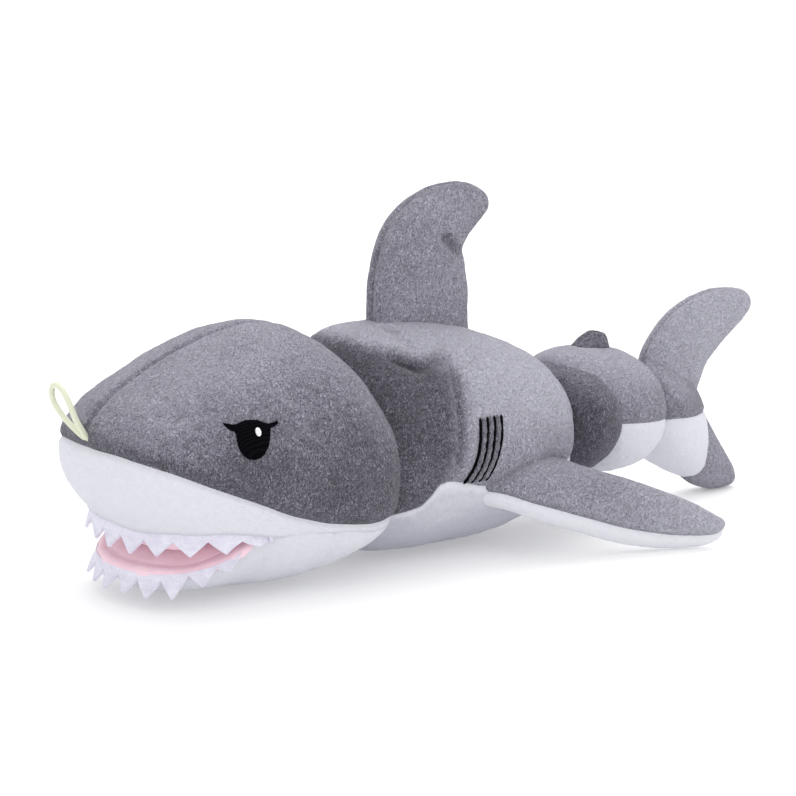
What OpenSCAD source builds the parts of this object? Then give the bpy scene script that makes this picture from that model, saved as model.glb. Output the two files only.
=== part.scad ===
// Plush shark: a stuffed toy sewn from pile fabric panels over separate fibre fillings.
// X runs from nose to tail, Y is across (the shark's left side is -Y) and Z is up.
// The origin is under the middle of the body, on the surface that the toy lies on.
// Every outline below is written as distance from the nose tip, then height above the floor.

/* [Overall] */
// Length of the body from nose tip to tail tip
body_length = 356; // [300:1:420]
// Thickness of the pile fabric and its backing
fabric_t = 1.2; // [1:0.1:1.4]
// Clearance between neighbouring fabric bodies
seam_gap = 0.4; // [0.3:0.05:0.5]

/* [Head] */
// Widest part of the head
head_width = 104; // [96:1:112]
// Height of the crown above the floor
head_height = 107; // [104:1:112]
// Distance from the nose tip to the mouth hinge
jaw_hinge_x = 72; // [70:1:74]
// Height of the mouth hinge, which is also the radius of the back of the jaw
jaw_hinge_z = 24; // [23:0.5:25]
// Width of one felt tooth at its root
tooth_width = 13; // [11:0.5:14]
// Length of one felt tooth
tooth_length = 11; // [9:0.5:12]
// Thickness of the tooth felt
felt_t = 1.4; // [1:0.1:1.8]
// Number of teeth in each row
teeth_per_row = 11; // [7:2:11]
// Half width of an embroidered eye
eye_half_width = 6.5; // [5:0.5:8]
// Half height of an embroidered eye
eye_half_height = 8; // [6:0.5:9]

/* [Torso] */
// Widest part of the torso
torso_width = 94; // [88:1:98]
// Height of the back above the floor
torso_height = 98; // [94:1:100]
// Diameter of the squeaker bulb
squeaker_d = 36; // [30:1:40]
// Travel of the squeaker when it is squeezed
squeaker_travel = 6; // [4:0.5:6]

/* [Fins] */
// Height of the big dorsal fin's tip above the floor
dorsal_height = 155; // [145:1:160]
// Distance from the middle plane to a side fin's tip
side_fin_reach = 82; // [76:1:88]

/* [Hidden] */

// Colours of the materials
grey_plush = "#8c8b96";
white_plush = "#e2e2ea";
pink_satin = "#e0bcc8";
lilac_felt = "#d2d0e0";
black_thread = "#0b0b0f";
white_thread = "#f2f2f4";
cord_green = "#dde0c8";
fibre = "#f4f3ee";
squeaker_plastic = "#e8e4d8";

// The outlines are drawn for a body of this length
drawn_length = 356;
grow = body_length / drawn_length;
around = 24;
full_turn = 360;
step = full_turn / around;
// Cross-sections are slightly squarer than an ellipse
roundness = 2 / 2.2;
far = 400;

// Body sections: [distance from the nose, half width, underside, top].
// An underside below zero is flattened by the floor, which makes the belly's flat rest.
half_head = head_width / 2;
head_sections = [
    [0, half_head * 0.12, 49, 60],
    [2, half_head * 0.30, 38, 70],
    [5, half_head * 0.47, 29, 76],
    [10, half_head * 0.64, 20, 81],
    [18, half_head * 0.79, 10, 87],
    [30, half_head * 0.90, 2, head_height - 15],
    [45, half_head * 0.96, -3, head_height - 8],
    [64, half_head * 0.99, -4, head_height - 3],
    [82, half_head, -4, head_height],
    [96, half_head * 0.98, -1, head_height - 2],
    [106, half_head * 0.91, 5, head_height - 9],
    [112.5, half_head * 0.74, 12, head_height - 19]
];
half_torso = torso_width / 2;
torso_sections = [
    [121.5, half_torso * 0.80, 11, torso_height - 9],
    [127, half_torso * 0.93, 3, torso_height - 3],
    [136, half_torso * 0.98, -3, torso_height],
    [152, half_torso, -4, torso_height + 0.5],
    [170, half_torso, -4, torso_height - 1],
    [186, half_torso * 0.99, -2, torso_height - 5],
    [200, half_torso * 0.96, 3, torso_height - 9],
    [212, half_torso * 0.90, 9, torso_height - 14],
    [221, half_torso * 0.81, 14, torso_height - 19],
    [226, half_torso * 0.70, 18, torso_height - 24]
];
tail_ring_sections = [
    [232, 33, 18, 74],
    [236, 35, 16, 76],
    [241, 34, 17, 77],
    [245, 30, 20, 76]
];
tail_sections = [
    [251, 29, 20, 76],
    [257, 31, 18, 78],
    [266, 30, 18, 77],
    [275, 27, 20, 73],
    [283, 21, 24, 67]
];
tail_base_sections = [
    [289.5, 20, 25, 65],
    [296, 22, 19, 65],
    [305, 20, 14, 61],
    [313, 15, 11, 57],
    [318.5, 9, 12, 54]
];

// Where neighbouring bodies bend on each other: [distance from the nose, height, ball radius]
neck = [117, 52, 34];
tail_root = [229, 46, 27];
tail_bend = [250, 48, 22];
tail_tip_bend = [286, 45, 18];
ball_rings = 6;
cap_angle = 10;

// Angle from the top at which grey plush gives way to white plush
torso_seam_angle = 105;
tail_seam_angle = 90;

// The edge between the grey head panels and the white muzzle, from the nose back to the neck
grey_edge = [
    [-5, 66], [2, 65], [5, 64], [14, 60], [26, 55], [48, 45], [66, 37], [84, 31], [106, 27], [130, 27]
];
// Upper lip and lower lip, seen from the side, and the mouth corner where they meet
upper_lip = [[-5, 41], [9, 40], [30, 37], [53, 33]];
mouth_corner = [68, 28.5];
lower_lip = [[51, 25], [33, 22], [14, 18.5], [-5, 18]];
throat_start = 82;
jaw_arc_start = -25;
jaw_room_start = -10;

// Fin sections: [front point, rear point, half thickness], each point [distance, height]
dorsal_lift = 5;
drawn_dorsal_rise = 57;
dorsal_rise = (dorsal_height - torso_height) / drawn_dorsal_rise;
dorsal_sections = [
    [[137, torso_height + dorsal_lift], [184, torso_height - 4.5 + dorsal_lift], 8],
    [[136, torso_height + 14 * dorsal_rise], [184, torso_height + 10 * dorsal_rise], 8],
    [[138, torso_height + 30 * dorsal_rise], [183, torso_height + 27 * dorsal_rise], 7.5],
    [[145, torso_height + 42 * dorsal_rise], [189, torso_height + 38 * dorsal_rise], 7],
    [[156, torso_height + 51 * dorsal_rise], [196, torso_height + 45 * dorsal_rise], 5.5],
    [[170, torso_height + 56.5 * dorsal_rise], [194, torso_height + 53 * dorsal_rise], 3]
];
rear_fin_sections = [
    [[254, 80.8], [271, 80], 4.5],
    [[255, 84], [271, 83], 4],
    [[258, 88], [270, 87], 3],
    [[261, 91], [266, 91], 1.8]
];
upper_lobe_sections = [
    [[290, 68], [325, 55], 8],
    [[295, 77], [335, 66], 8],
    [[303, 86], [345, 77], 7],
    [[314, 92], [355, 86], 5.5],
    [[330, 96], [356, 91], 3.5]
];
lower_lobe_sections = [
    [[326, 46], [320, 8], 8],
    [[334, 32], [325, 3.5], 8],
    [[342, 18], [333, 1], 6.5],
    [[348, 9], [340, 0.5], 4]
];
// Left side fin: [front point, rear point, half thickness], each point [distance, across, height]
fin_root_y = torso_width / 2 + 3.8;
fin_spread = side_fin_reach - fin_root_y;
side_fin_sections = [
    [[166, -fin_root_y, 30], [203, -fin_root_y + 1, 37], 8],
    [[178, -fin_root_y - fin_spread * 0.12, 28], [212, -fin_root_y - fin_spread * 0.10, 35], 9],
    [[197, -fin_root_y - fin_spread * 0.36, 22], [226, -fin_root_y - fin_spread * 0.30, 30], 9],
    [[218, -fin_root_y - fin_spread * 0.63, 16], [242, -fin_root_y - fin_spread * 0.54, 23], 8],
    [[240, -fin_root_y - fin_spread * 0.86, 10], [256, -fin_root_y - fin_spread * 0.78, 16], 6],
    [[254, -fin_root_y - fin_spread, 7.5], [263, -fin_root_y - fin_spread * 0.94, 11], 3.5]
];
fin_around = 16;

// Eye, glint and gill places on the side of the body: [distance, height]
eye_place = [47, 68];
glint_place = [49, 71];
glint_half_width = 1.6;
glint_half_height = 2.4;
stitch_proud = 0.8;
surface_gap = 0.1;
gill_count = 4;
gill_pitch = 3.7;
gill_front = 157;
gill_top = 64;
gill_drop = 30;
gill_lean = 7;
gill_width = 1.2;

// Squeaker: a moulded base with a reed, and a bulb dome that is pressed onto it
squeaker_x = 164;
squeaker_wall = 1.5;
squeaker_floor_z = 38;
squeaker_cup_h = 14;
squeaker_dome_h = 15;
squeaker_spare = 1.5;
squeaker_dome_z = squeaker_floor_z + squeaker_wall + squeaker_travel + squeaker_spare;
// Height of the dome's slanted edge
squeaker_slant = 4;
squeaker_room = 2;
reed_d = 8;
reed_bore = 3;
reed_h = 4;

// Hanging loop: a folded cord sewn into the seam above the nose
cord_d = 2.4;
cord_sides = 8;
loop_route = [
    [2.2, -1.6, 66], [0, -2.2, 68], [-2, -2.6, 70.8], [-4, -2.8, 74.2], [-5.5, -2.8, 78],
    [-6.5, -2, 81.8], [-7.2, 0, 85], [-7.6, 2.8, 87.1], [-7.8, 6, 87.6], [-7.6, 9.2, 86.6],
    [-7, 11.4, 83.6], [-6.2, 11.6, 80.2], [-5, 10.2, 77], [-3.6, 8, 73.8], [-1.8, 5.4, 70.8],
    [0, 3, 68.2], [2.2, 1.6, 66]
];

// ---------- geometry helpers ----------

function power_sign(v, e) = sign(v) * pow(abs(v), e);

// One cross-section of the body, pulled in by inset
function body_ring(section, inset, count = around) = [
    for (i = [0 : count - 1])
        let (
            angle = i * full_turn / count,
            half_w = section[1] - inset,
            middle = (section[3] + section[2]) / 2,
            half_h = (section[3] - section[2]) / 2 - inset,
            height = middle + half_h * power_sign(cos(angle), roundness)
        )
        [section[0], -half_w * power_sign(sin(angle), roundness), max(inset, height)]
];

function round_ring(x, z, r) = [
    for (i = [0 : around - 1]) [x, -r * sin(i * step), z + r * cos(i * step)]
];

// Rings of a ball, from its small front cap, past its widest ring, to the shoulder behind it
function ball_front(bend, shoulder_x) = [
    for (i = [0 : ball_rings])
        let (
            r = bend[2],
            widest = acos((bend[0] - shoulder_x) / r),
            angle = cap_angle + i * (widest - cap_angle) / ball_rings
        )
        round_ring(bend[0] - r * cos(angle), bend[1], r * sin(angle))
];

// Rings of the dish that a neighbour's ball sits in, from the rim inwards
function dish(bend, r, rim_x) = [
    for (i = [ball_rings : -1 : 0])
        let (
            widest = acos((bend[0] - rim_x) / r),
            angle = cap_angle + i * (widest - cap_angle) / ball_rings
        )
        round_ring(bend[0] - r * cos(angle), bend[1], r * sin(angle))
];

function fin_ring(section, normal, inset) =
    let (
        chord = section[1] - section[0],
        middle = (section[1] + section[0]) / 2,
        half_chord = norm(chord) / 2 - inset,
        along = chord / norm(chord)
    )
    [
        for (i = [0 : fin_around - 1])
            let (angle = i * full_turn / fin_around)
            middle + along * half_chord * cos(angle) + normal * (section[2] - inset) * sin(angle)
    ];

function in_space(point) = [point[0], 0, point[1]];
function upright_fin(sections) = [for (s = sections) [in_space(s[0]), in_space(s[1]), s[2]]];

// A closed solid through a list of equal rings, with a flat cap at each end
module loft(rings) {
    count = len(rings[0]);
    last = len(rings) - 1;
    points = [for (ring = rings) each ring];
    sides = [
        for (r = [0 : last - 1], i = [0 : count - 1])
            let (a = r * count + i, b = r * count + (i + 1) % count)
            each [[a, b, b + count], [a, b + count, a + count]]
    ];
    first_cap = [for (i = [count - 1 : -1 : 0]) i];
    last_cap = [for (i = [0 : count - 1]) last * count + i];
    polyhedron(points = points, faces = concat(sides, [first_cap, last_cap]), convexity = 6);
}

// The same solid as a chain of convex slices, for the forms that other shapes are cut from
module sliced_form(rings) {
    for (r = [0 : len(rings) - 2])
        hull()
            loft([rings[r], rings[r + 1]]);
}

// A sheet of fabric between an outer and an inner list of rings, from column first to column last
module sheet(outer, inner, first, last) {
    count = len(outer[0]);
    width = last - first + 1;
    rows = len(outer);
    flat_side = rows * width;
    outer_points = [for (ring = outer, c = [first : last]) ring[(c + count) % count]];
    inner_points = [for (ring = inner, c = [first : last]) ring[(c + count) % count]];
    skin = [
        for (r = [0 : rows - 2], c = [0 : width - 2])
            let (a = r * width + c, b = a + 1, d = a + width, e = d + 1)
            each [
                [a, b, e], [a, e, d],
                [flat_side + a, flat_side + e, flat_side + b], [flat_side + a, flat_side + d, flat_side + e]
            ]
    ];
    row_edges = [
        for (c = [0 : width - 2])
            let (near = c, away = (rows - 1) * width + c)
            each [
                [near, near + flat_side, near + flat_side + 1], [near, near + flat_side + 1, near + 1],
                [away, away + flat_side + 1, away + flat_side], [away, away + 1, away + flat_side + 1]
            ]
    ];
    side_edges = [
        for (r = [0 : rows - 2])
            let (
                low = r * width,
                low_next = low + width,
                high = low + width - 1,
                high_next = high + width
            )
            each [
                [low, low_next, low_next + flat_side], [low, low_next + flat_side, low + flat_side],
                [high, high_next + flat_side, high_next], [high, high + flat_side, high_next + flat_side]
            ]
    ];
    polyhedron(points = concat(outer_points, inner_points), faces = concat(skin, row_edges, side_edges));
}

// A tube of fabric that goes all the way round
module sleeve(outer, inner) {
    count = len(outer[0]);
    rows = len(outer);
    flat_side = rows * count;
    skin = [
        for (r = [0 : rows - 2], i = [0 : count - 1])
            let (a = r * count + i, b = r * count + (i + 1) % count, d = a + count, e = b + count)
            each [
                [a, b, e], [a, e, d],
                [flat_side + a, flat_side + e, flat_side + b], [flat_side + a, flat_side + d, flat_side + e]
            ]
    ];
    rims = [
        for (i = [0 : count - 1])
            let (a = i, b = (i + 1) % count, c = (rows - 1) * count + a, d = (rows - 1) * count + b)
            each [
                [a, a + flat_side, b + flat_side], [a, b + flat_side, b],
                [c, d + flat_side, c + flat_side], [c, d, d + flat_side]
            ]
    ];
    polyhedron(points = [for (ring = concat(outer, inner)) each ring], faces = concat(skin, rims));
}

// Puts a shape drawn from the nose tip into the part's own frame, at the chosen body length
module placed() {
    scale(grow)
        translate([-drawn_length / 2, 0, 0])
            children();
}

// A side outline, pushed right through the body from left to right
module side_cut(outline) {
    translate([0, far / 2, 0])
        rotate([90, 0, 0])
            linear_extrude(far)
                polygon(outline);
}

module left_half() {
    translate([-far, -far, -far])
        cube([2 * far, far, 2 * far]);
}

module right_half() {
    translate([-far, 0, -far])
        cube([2 * far, far, 2 * far]);
}

function body_rings(sections, inset) = [for (s = sections) body_ring(s, inset)];

// ---------- head ----------

// The nose is pulled back by the inset too, so a fabric shell is as thick there as elsewhere
function inset_from_nose(inset) = [
    for (i = [0 : len(head_sections) - 1])
        head_sections[i] + [inset * max(0, 1 - i / 4), 0, 0, 0]
];

module head_form(inset) {
    sliced_form(body_rings(inset_from_nose(inset), inset));
}

// The head's fabric, open at the neck
module head_shell() {
    rings = body_rings(inset_from_nose(fabric_t), fabric_t);
    last = len(rings) - 1;
    difference() {
        head_form(0);
        union() {
            sliced_form(rings);
            loft([rings[last], [for (point = rings[last]) point + [1, 0, 0]]]);
        }
    }
}

function jaw_arc(radius, start) = [
    for (angle = [start : -13 : -90])
        [jaw_hinge_x + radius * cos(angle), jaw_hinge_z + radius * sin(angle)]
];

jaw_outline = concat(
    [[-5, -5], [-5, 18]],
    [for (i = [len(lower_lip) - 2 : -1 : 0]) lower_lip[i]],
    [mouth_corner - [2, 1.5]],
    jaw_arc(jaw_hinge_z, jaw_arc_start),
    [[jaw_hinge_x, -5]]
);
// Everything that the head leaves free: the open mouth and the room for the jaw
mouth_and_jaw_room = concat(
    upper_lip,
    [mouth_corner],
    jaw_arc(jaw_hinge_z + seam_gap, jaw_room_start),
    [[throat_start, -5], [-5, -5]]
);
cheek_seam_end = [84, 31];
grey_zone = concat(grey_edge, [[130, 130], [-5, 130]]);
muzzle_zone = concat(
    [for (i = [0 : 7]) grey_edge[i]],
    [mouth_corner],
    [for (i = [len(upper_lip) - 1 : -1 : 0]) upper_lip[i]]
);
throat_zone = concat(
    [mouth_corner, cheek_seam_end],
    [for (i = [8 : 9]) grey_edge[i]],
    [[130, -5], [40, -5], [40, mouth_corner[1]]]
);

module head_grey_panel() {
    color(grey_plush)
        placed()
            intersection() {
                head_shell();
                side_cut(grey_zone);
                children();
            }
}

module head_panel_left() {
    head_grey_panel() left_half();
}

module head_panel_right() {
    head_grey_panel() right_half();
}

module muzzle_panel() {
    color(white_plush)
        placed()
            intersection() {
                head_shell();
                side_cut(muzzle_zone);
            }
}

module throat_panel() {
    color(white_plush)
        placed()
            difference() {
                intersection() {
                    head_shell();
                    side_cut(throat_zone);
                }
                side_cut(mouth_and_jaw_room);
            }
}

module inner_head() {
    head_form(fabric_t);
}

function shifted(outline, rise) = [for (p = outline) p + [0, rise]];

module palate_lining() {
    roof = concat(upper_lip, [mouth_corner]);
    color(pink_satin)
        placed()
            intersection() {
                inner_head();
                side_cut(concat(roof, [for (i = [len(roof) - 1 : -1 : 0]) roof[i] + [0, fabric_t]]));
            }
}

module head_stuffing() {
    color(fibre)
        placed()
            difference() {
                inner_head();
                side_cut(concat(
                    shifted(upper_lip, fabric_t),
                    [mouth_corner + [4, fabric_t]],
                    jaw_arc(jaw_hinge_z + seam_gap, jaw_room_start),
                    [[throat_start, -5], [-5, -5]]
                ));
                translate([neck[0], 0, neck[1]])
                    sphere(r = neck[2] + seam_gap);
            }
}

// One embroidered patch on the head's surface, cut to an oval
module head_patch(place, half_w, half_h, lift, side) {
    oval = [
        for (angle = [0 : 15 : 345])
            [place[0] + half_w * cos(angle), place[1] + half_h * sin(angle)]
    ];
    intersection() {
        difference() {
            head_form(-lift - stitch_proud);
            head_form(-lift);
        }
        side_cut(oval);
        half_space(side);
    }
}

module half_space(side) {
    if (side < 0) left_half();
    else right_half();
}

module eye(side) {
    color(black_thread)
        placed()
            head_patch(eye_place, eye_half_width, eye_half_height, surface_gap, side);
}

// The white glint is stitched on top of the black eye
module eye_glint(side) {
    lift = 2 * surface_gap + stitch_proud;
    color(white_thread)
        placed()
            head_patch(glint_place, glint_half_width, glint_half_height, lift, side);
}

module eye_left() { eye(-1); }
module eye_right() { eye(1); }
module eye_glint_left() { eye_glint(-1); }
module eye_glint_right() { eye_glint(1); }

// How far the tooth rows stop in front of the mouth hinge
row_end_gap = 14;
// How far round the oval lip line the last tooth of a row stands, in degrees
row_end_turn = 80;
// How much shorter the last tooth of a row is than the front one
row_end_shortening = 0.45;

// A row of felt teeth that hang from an oval lip line. The root lies root_drop below the line.
module tooth_row(line, front_x, half_w, root_drop, longest) {
    reach = jaw_hinge_x - row_end_gap - front_x;
    middle = (teeth_per_row - 1) / 2;
    for (k = [-middle : middle]) {
        turn = k * row_end_turn / middle;
        x = front_x + reach * (1 - cos(turn));
        rise = (lookup(x + 2, line) - lookup(x, line)) / 2;
        slope = rise * reach * sin(turn) / norm([reach, half_w]);
        root = lookup(x, line) - root_drop;
        length = longest * (1 - row_end_shortening * pow(abs(k) / middle, 3));
        translate([x, -half_w * sin(turn), root])
            rotate([0, 0, atan2(-half_w * cos(turn), reach * sin(turn))])
                rotate([90, 0, 0])
                    linear_extrude(felt_t, center = true)
                        polygon([
                            [-tooth_width / 2, -slope * tooth_width / 2],
                            [0, -length],
                            [tooth_width / 2, slope * tooth_width / 2]
                        ]);
    }
}

module upper_teeth() {
    color(lilac_felt)
        placed()
            intersection() {
                tooth_row(upper_lip, 13, 42, 0.3, tooth_length);
                side_cut(concat(shifted(upper_lip, -0.3), [mouth_corner], shifted(lower_lip, 1)));
            }
}

// ---------- jaw ----------

module chin_panel() {
    color(white_plush)
        placed()
            intersection() {
                head_shell();
                side_cut(jaw_outline);
            }
}

lower_lip_back = [for (i = [len(lower_lip) - 1 : -1 : 0]) lower_lip[i]];

module jaw_lining() {
    floor_line = concat(lower_lip_back, [mouth_corner - [2, 1.5]]);
    color(pink_satin)
        placed()
            intersection() {
                inner_head();
                side_cut(concat(
                    floor_line,
                    [for (i = [len(floor_line) - 1 : -1 : 0]) floor_line[i] - [0, fabric_t]]
                ));
            }
}

module jaw_stuffing() {
    color(fibre)
        placed()
            intersection() {
                inner_head();
                side_cut(concat(
                    [[-5, -5]],
                    shifted(lower_lip_back, -fabric_t),
                    [mouth_corner - [2, 1.5 + fabric_t]],
                    jaw_arc(jaw_hinge_z, jaw_arc_start),
                    [[jaw_hinge_x, -5]]
                ));
            }
}

// Everything above the lower lip line
mouth_side = concat([[-5, 130]], lower_lip_back, [mouth_corner, [130, 130]]);

// The lower teeth are folded out over the lip and hang down over the chin
module lower_teeth() {
    color(lilac_felt)
        placed()
            difference() {
                tooth_row(lower_lip_back, 9.5, 45.5, 0.5, tooth_length - 1);
                head_form(-surface_gap);
                side_cut(mouth_side);
            }
}

// ---------- torso ----------

torso_outer = body_rings(torso_sections, 0);
torso_inner = body_rings(torso_sections, fabric_t);
torso_seam = torso_seam_angle / step;

module back_panel() {
    color(grey_plush)
        placed()
            sheet(torso_outer, torso_inner, -torso_seam, torso_seam);
}

module belly_panel() {
    color(white_plush)
        placed()
            sheet(torso_outer, torso_inner, torso_seam, around - torso_seam);
}

// A filling that carries a ball at its front and a dish at its rear
module filling(front_bend, sections, rear_bend) {
    rings = body_rings(sections, fabric_t);
    rim_x = sections[len(sections) - 1][0];
    loft(concat(
        ball_front(front_bend, sections[0][0]),
        rings,
        dish(rear_bend, rear_bend[2] + seam_gap, rim_x)
    ));
}

module torso_stuffing() {
    color(fibre)
        placed()
            difference() {
                filling(neck, torso_sections, tail_root);
                translate([squeaker_x, 0, squeaker_floor_z - seam_gap])
                    cylinder(
                        d = squeaker_d + squeaker_room,
                        h = squeaker_dome_z + squeaker_dome_h - squeaker_floor_z + squeaker_room,
                        $fn = 64
                    );
            }
}

// One side's row of stitched gill lines, each leaning forward towards its lower end
module gill_stitches(side) {
    color(black_thread)
        placed()
            intersection() {
                difference() {
                    torso_form(-surface_gap - stitch_proud);
                    torso_form(-surface_gap);
                }
                for (k = [0 : gill_count - 1])
                    side_cut(gill_outline(gill_front + k * gill_pitch));
                half_space(side);
            }
}

function gill_outline(x) = [
    [x, gill_top], [x + gill_width, gill_top],
    [x + gill_width - gill_lean * 0.3, gill_top - gill_drop * 0.6],
    [x + gill_width - gill_lean, gill_top - gill_drop],
    [x - gill_lean, gill_top - gill_drop],
    [x - gill_lean * 0.3, gill_top - gill_drop * 0.6]
];

module torso_form(inset) {
    sliced_form(body_rings(torso_sections, inset));
}

module gill_stitches_left() { gill_stitches(-1); }
module gill_stitches_right() { gill_stitches(1); }

// ---------- squeaker ----------

module squeaker_base() {
    outer = squeaker_d / 2;
    color(squeaker_plastic)
        placed()
            translate([squeaker_x, 0, squeaker_floor_z])
                difference() {
                    cylinder(r = outer, h = squeaker_cup_h, $fn = 64);
                    translate([0, 0, squeaker_wall])
                        cylinder(r = outer - squeaker_wall, h = squeaker_cup_h, $fn = 64);
                    translate([0, 0, -1])
                        cylinder(d = reed_d, h = squeaker_cup_h, $fn = 32);
                }
}

module squeaker_reed() {
    color(white_thread)
        placed()
            translate([squeaker_x, 0, squeaker_floor_z])
                difference() {
                    cylinder(d = reed_d, h = reed_h, $fn = 32);
                    translate([0, 0, -1])
                        cylinder(d = reed_bore, h = reed_h + 2, $fn = 32);
                }
}

module squeaker_dome() {
    outer = squeaker_d / 2 - squeaker_wall - seam_gap;
    inner = outer - squeaker_wall;
    shoulder = outer * 0.7;
    ceiling = squeaker_dome_h - squeaker_wall;
    color(squeaker_plastic)
        placed()
            translate([squeaker_x, 0, squeaker_dome_z])
                rotate_extrude($fn = 64)
                    polygon([
                        [inner, 0], [outer, 0], [outer, squeaker_dome_h - squeaker_slant],
                        [shoulder, squeaker_dome_h], [0, squeaker_dome_h],
                        [0, ceiling], [shoulder - 1, ceiling], [inner, ceiling - squeaker_slant + 0.5]
                    ]);
}

// ---------- fins ----------

across_normal = [0, 1, 0];

function fin_rings(sections, normal, inset) = [for (s = sections) fin_ring(s, normal, inset)];

// One fabric side of a fin. Side is 1 for the side that the normal points to, -1 for the other.
module fin_panel(sections, normal, side) {
    half = fin_around / 2;
    sheet(
        fin_rings(sections, normal, 0),
        fin_rings(sections, normal, fabric_t),
        side > 0 ? 0 : half,
        side > 0 ? half : fin_around
    );
}

module fin_filling(sections, normal) {
    loft(fin_rings(sections, normal, fabric_t));
}

module upright_panel(sections, side) {
    color(grey_plush)
        placed()
            fin_panel(upright_fin(sections), across_normal, side);
}

module upright_filling(sections) {
    color(fibre)
        placed()
            fin_filling(upright_fin(sections), across_normal);
}

module dorsal_fin_left() { upright_panel(dorsal_sections, -1); }
module dorsal_fin_right() { upright_panel(dorsal_sections, 1); }
module dorsal_fin_stuffing() { upright_filling(dorsal_sections); }

module rear_fin_left() { upright_panel(rear_fin_sections, -1); }
module rear_fin_right() { upright_panel(rear_fin_sections, 1); }
module rear_fin_stuffing() { upright_filling(rear_fin_sections); }

module upper_lobe_left() { upright_panel(upper_lobe_sections, -1); }
module upper_lobe_right() { upright_panel(upper_lobe_sections, 1); }
module upper_lobe_stuffing() { upright_filling(upper_lobe_sections); }

module lower_lobe_left() { upright_panel(lower_lobe_sections, -1); }
module lower_lobe_right() { upright_panel(lower_lobe_sections, 1); }
module lower_lobe_stuffing() { upright_filling(lower_lobe_sections); }

// The side fin's thickness points up and outwards, square to its root and its length
side_fin_root = side_fin_sections[0];
side_fin_tip = side_fin_sections[len(side_fin_sections) - 1];
side_fin_square = cross(side_fin_tip[0] - side_fin_root[0], side_fin_root[1] - side_fin_root[0]);
side_fin_normal = side_fin_square / norm(side_fin_square) * sign(side_fin_square[2]);

module on_side(side) {
    if (side < 0) children();
    else mirror([0, 1, 0]) children();
}

module side_fin_top(side) {
    color(grey_plush)
        placed()
            on_side(side) fin_panel(side_fin_sections, side_fin_normal, 1);
}

module side_fin_underside(side) {
    color(white_plush)
        placed()
            on_side(side) fin_panel(side_fin_sections, side_fin_normal, -1);
}

module side_fin_stuffing(side) {
    color(fibre)
        placed()
            on_side(side) fin_filling(side_fin_sections, side_fin_normal);
}

module side_fin_left_top() { side_fin_top(-1); }
module side_fin_left_underside() { side_fin_underside(-1); }
module side_fin_left_stuffing() { side_fin_stuffing(-1); }
module side_fin_right_top() { side_fin_top(1); }
module side_fin_right_underside() { side_fin_underside(1); }
module side_fin_right_stuffing() { side_fin_stuffing(1); }

// ---------- tail ----------

module tail_ring_panel() {
    color(grey_plush)
        placed()
            sleeve(body_rings(tail_ring_sections, 0), body_rings(tail_ring_sections, fabric_t));
}

module tail_ring_stuffing() {
    color(fibre)
        placed()
            filling(tail_root, tail_ring_sections, tail_bend);
}

module tail_sheet(sections, first, last) {
    sheet(body_rings(sections, 0), body_rings(sections, fabric_t), first, last);
}

tail_seam = tail_seam_angle / step;

module tail_back_panel() {
    color(grey_plush)
        placed()
            tail_sheet(tail_sections, -tail_seam, tail_seam);
}

module tail_belly_panel() {
    color(white_plush)
        placed()
            tail_sheet(tail_sections, tail_seam, around - tail_seam);
}

module tail_stuffing() {
    color(fibre)
        placed()
            filling(tail_bend, tail_sections, tail_tip_bend);
}

module tail_base_panel() {
    color(grey_plush)
        placed()
            tail_sheet(tail_base_sections, -tail_seam, tail_seam);
}

module tail_base_belly() {
    color(white_plush)
        placed()
            tail_sheet(tail_base_sections, tail_seam, around - tail_seam);
}

module tail_base_stuffing() {
    color(fibre)
        placed()
            loft(concat(
                ball_front(tail_tip_bend, tail_base_sections[0][0]),
                body_rings(tail_base_sections, fabric_t)
            ));
}

// ---------- hanging loop ----------

module hang_loop() {
    color(cord_green)
        placed()
            loft([
                for (i = [0 : len(loop_route) - 1])
                    let (
                        before = loop_route[max(i - 1, 0)],
                        after = loop_route[min(i + 1, len(loop_route) - 1)],
                        heading = (after - before) / norm(after - before),
                        sideways = cross(heading, [1, 0, 0]) / norm(cross(heading, [1, 0, 0])),
                        outwards = cross(sideways, heading)
                    )
                    [
                        for (k = [0 : cord_sides - 1])
                            let (angle = k * full_turn / cord_sides)
                            loop_route[i]
                                + (sideways * cos(angle) + outwards * sin(angle)) * cord_d / 2
                    ]
            ]);
}

head_panel_left();
head_panel_right();
muzzle_panel();
throat_panel();
palate_lining();
upper_teeth();
eye_left();
eye_right();
eye_glint_left();
eye_glint_right();
head_stuffing();
hang_loop();
chin_panel();
jaw_lining();
lower_teeth();
jaw_stuffing();
back_panel();
belly_panel();
torso_stuffing();
gill_stitches_left();
gill_stitches_right();
squeaker_base();
squeaker_reed();
squeaker_dome();
dorsal_fin_left();
dorsal_fin_right();
dorsal_fin_stuffing();
rear_fin_left();
rear_fin_right();
rear_fin_stuffing();
side_fin_left_top();
side_fin_left_underside();
side_fin_left_stuffing();
side_fin_right_top();
side_fin_right_underside();
side_fin_right_stuffing();
tail_ring_panel();
tail_ring_stuffing();
tail_back_panel();
tail_belly_panel();
tail_stuffing();
tail_base_panel();
tail_base_belly();
tail_base_stuffing();
upper_lobe_left();
upper_lobe_right();
upper_lobe_stuffing();
lower_lobe_left();
lower_lobe_right();
lower_lobe_stuffing();
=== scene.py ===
import itertools
import math

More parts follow.
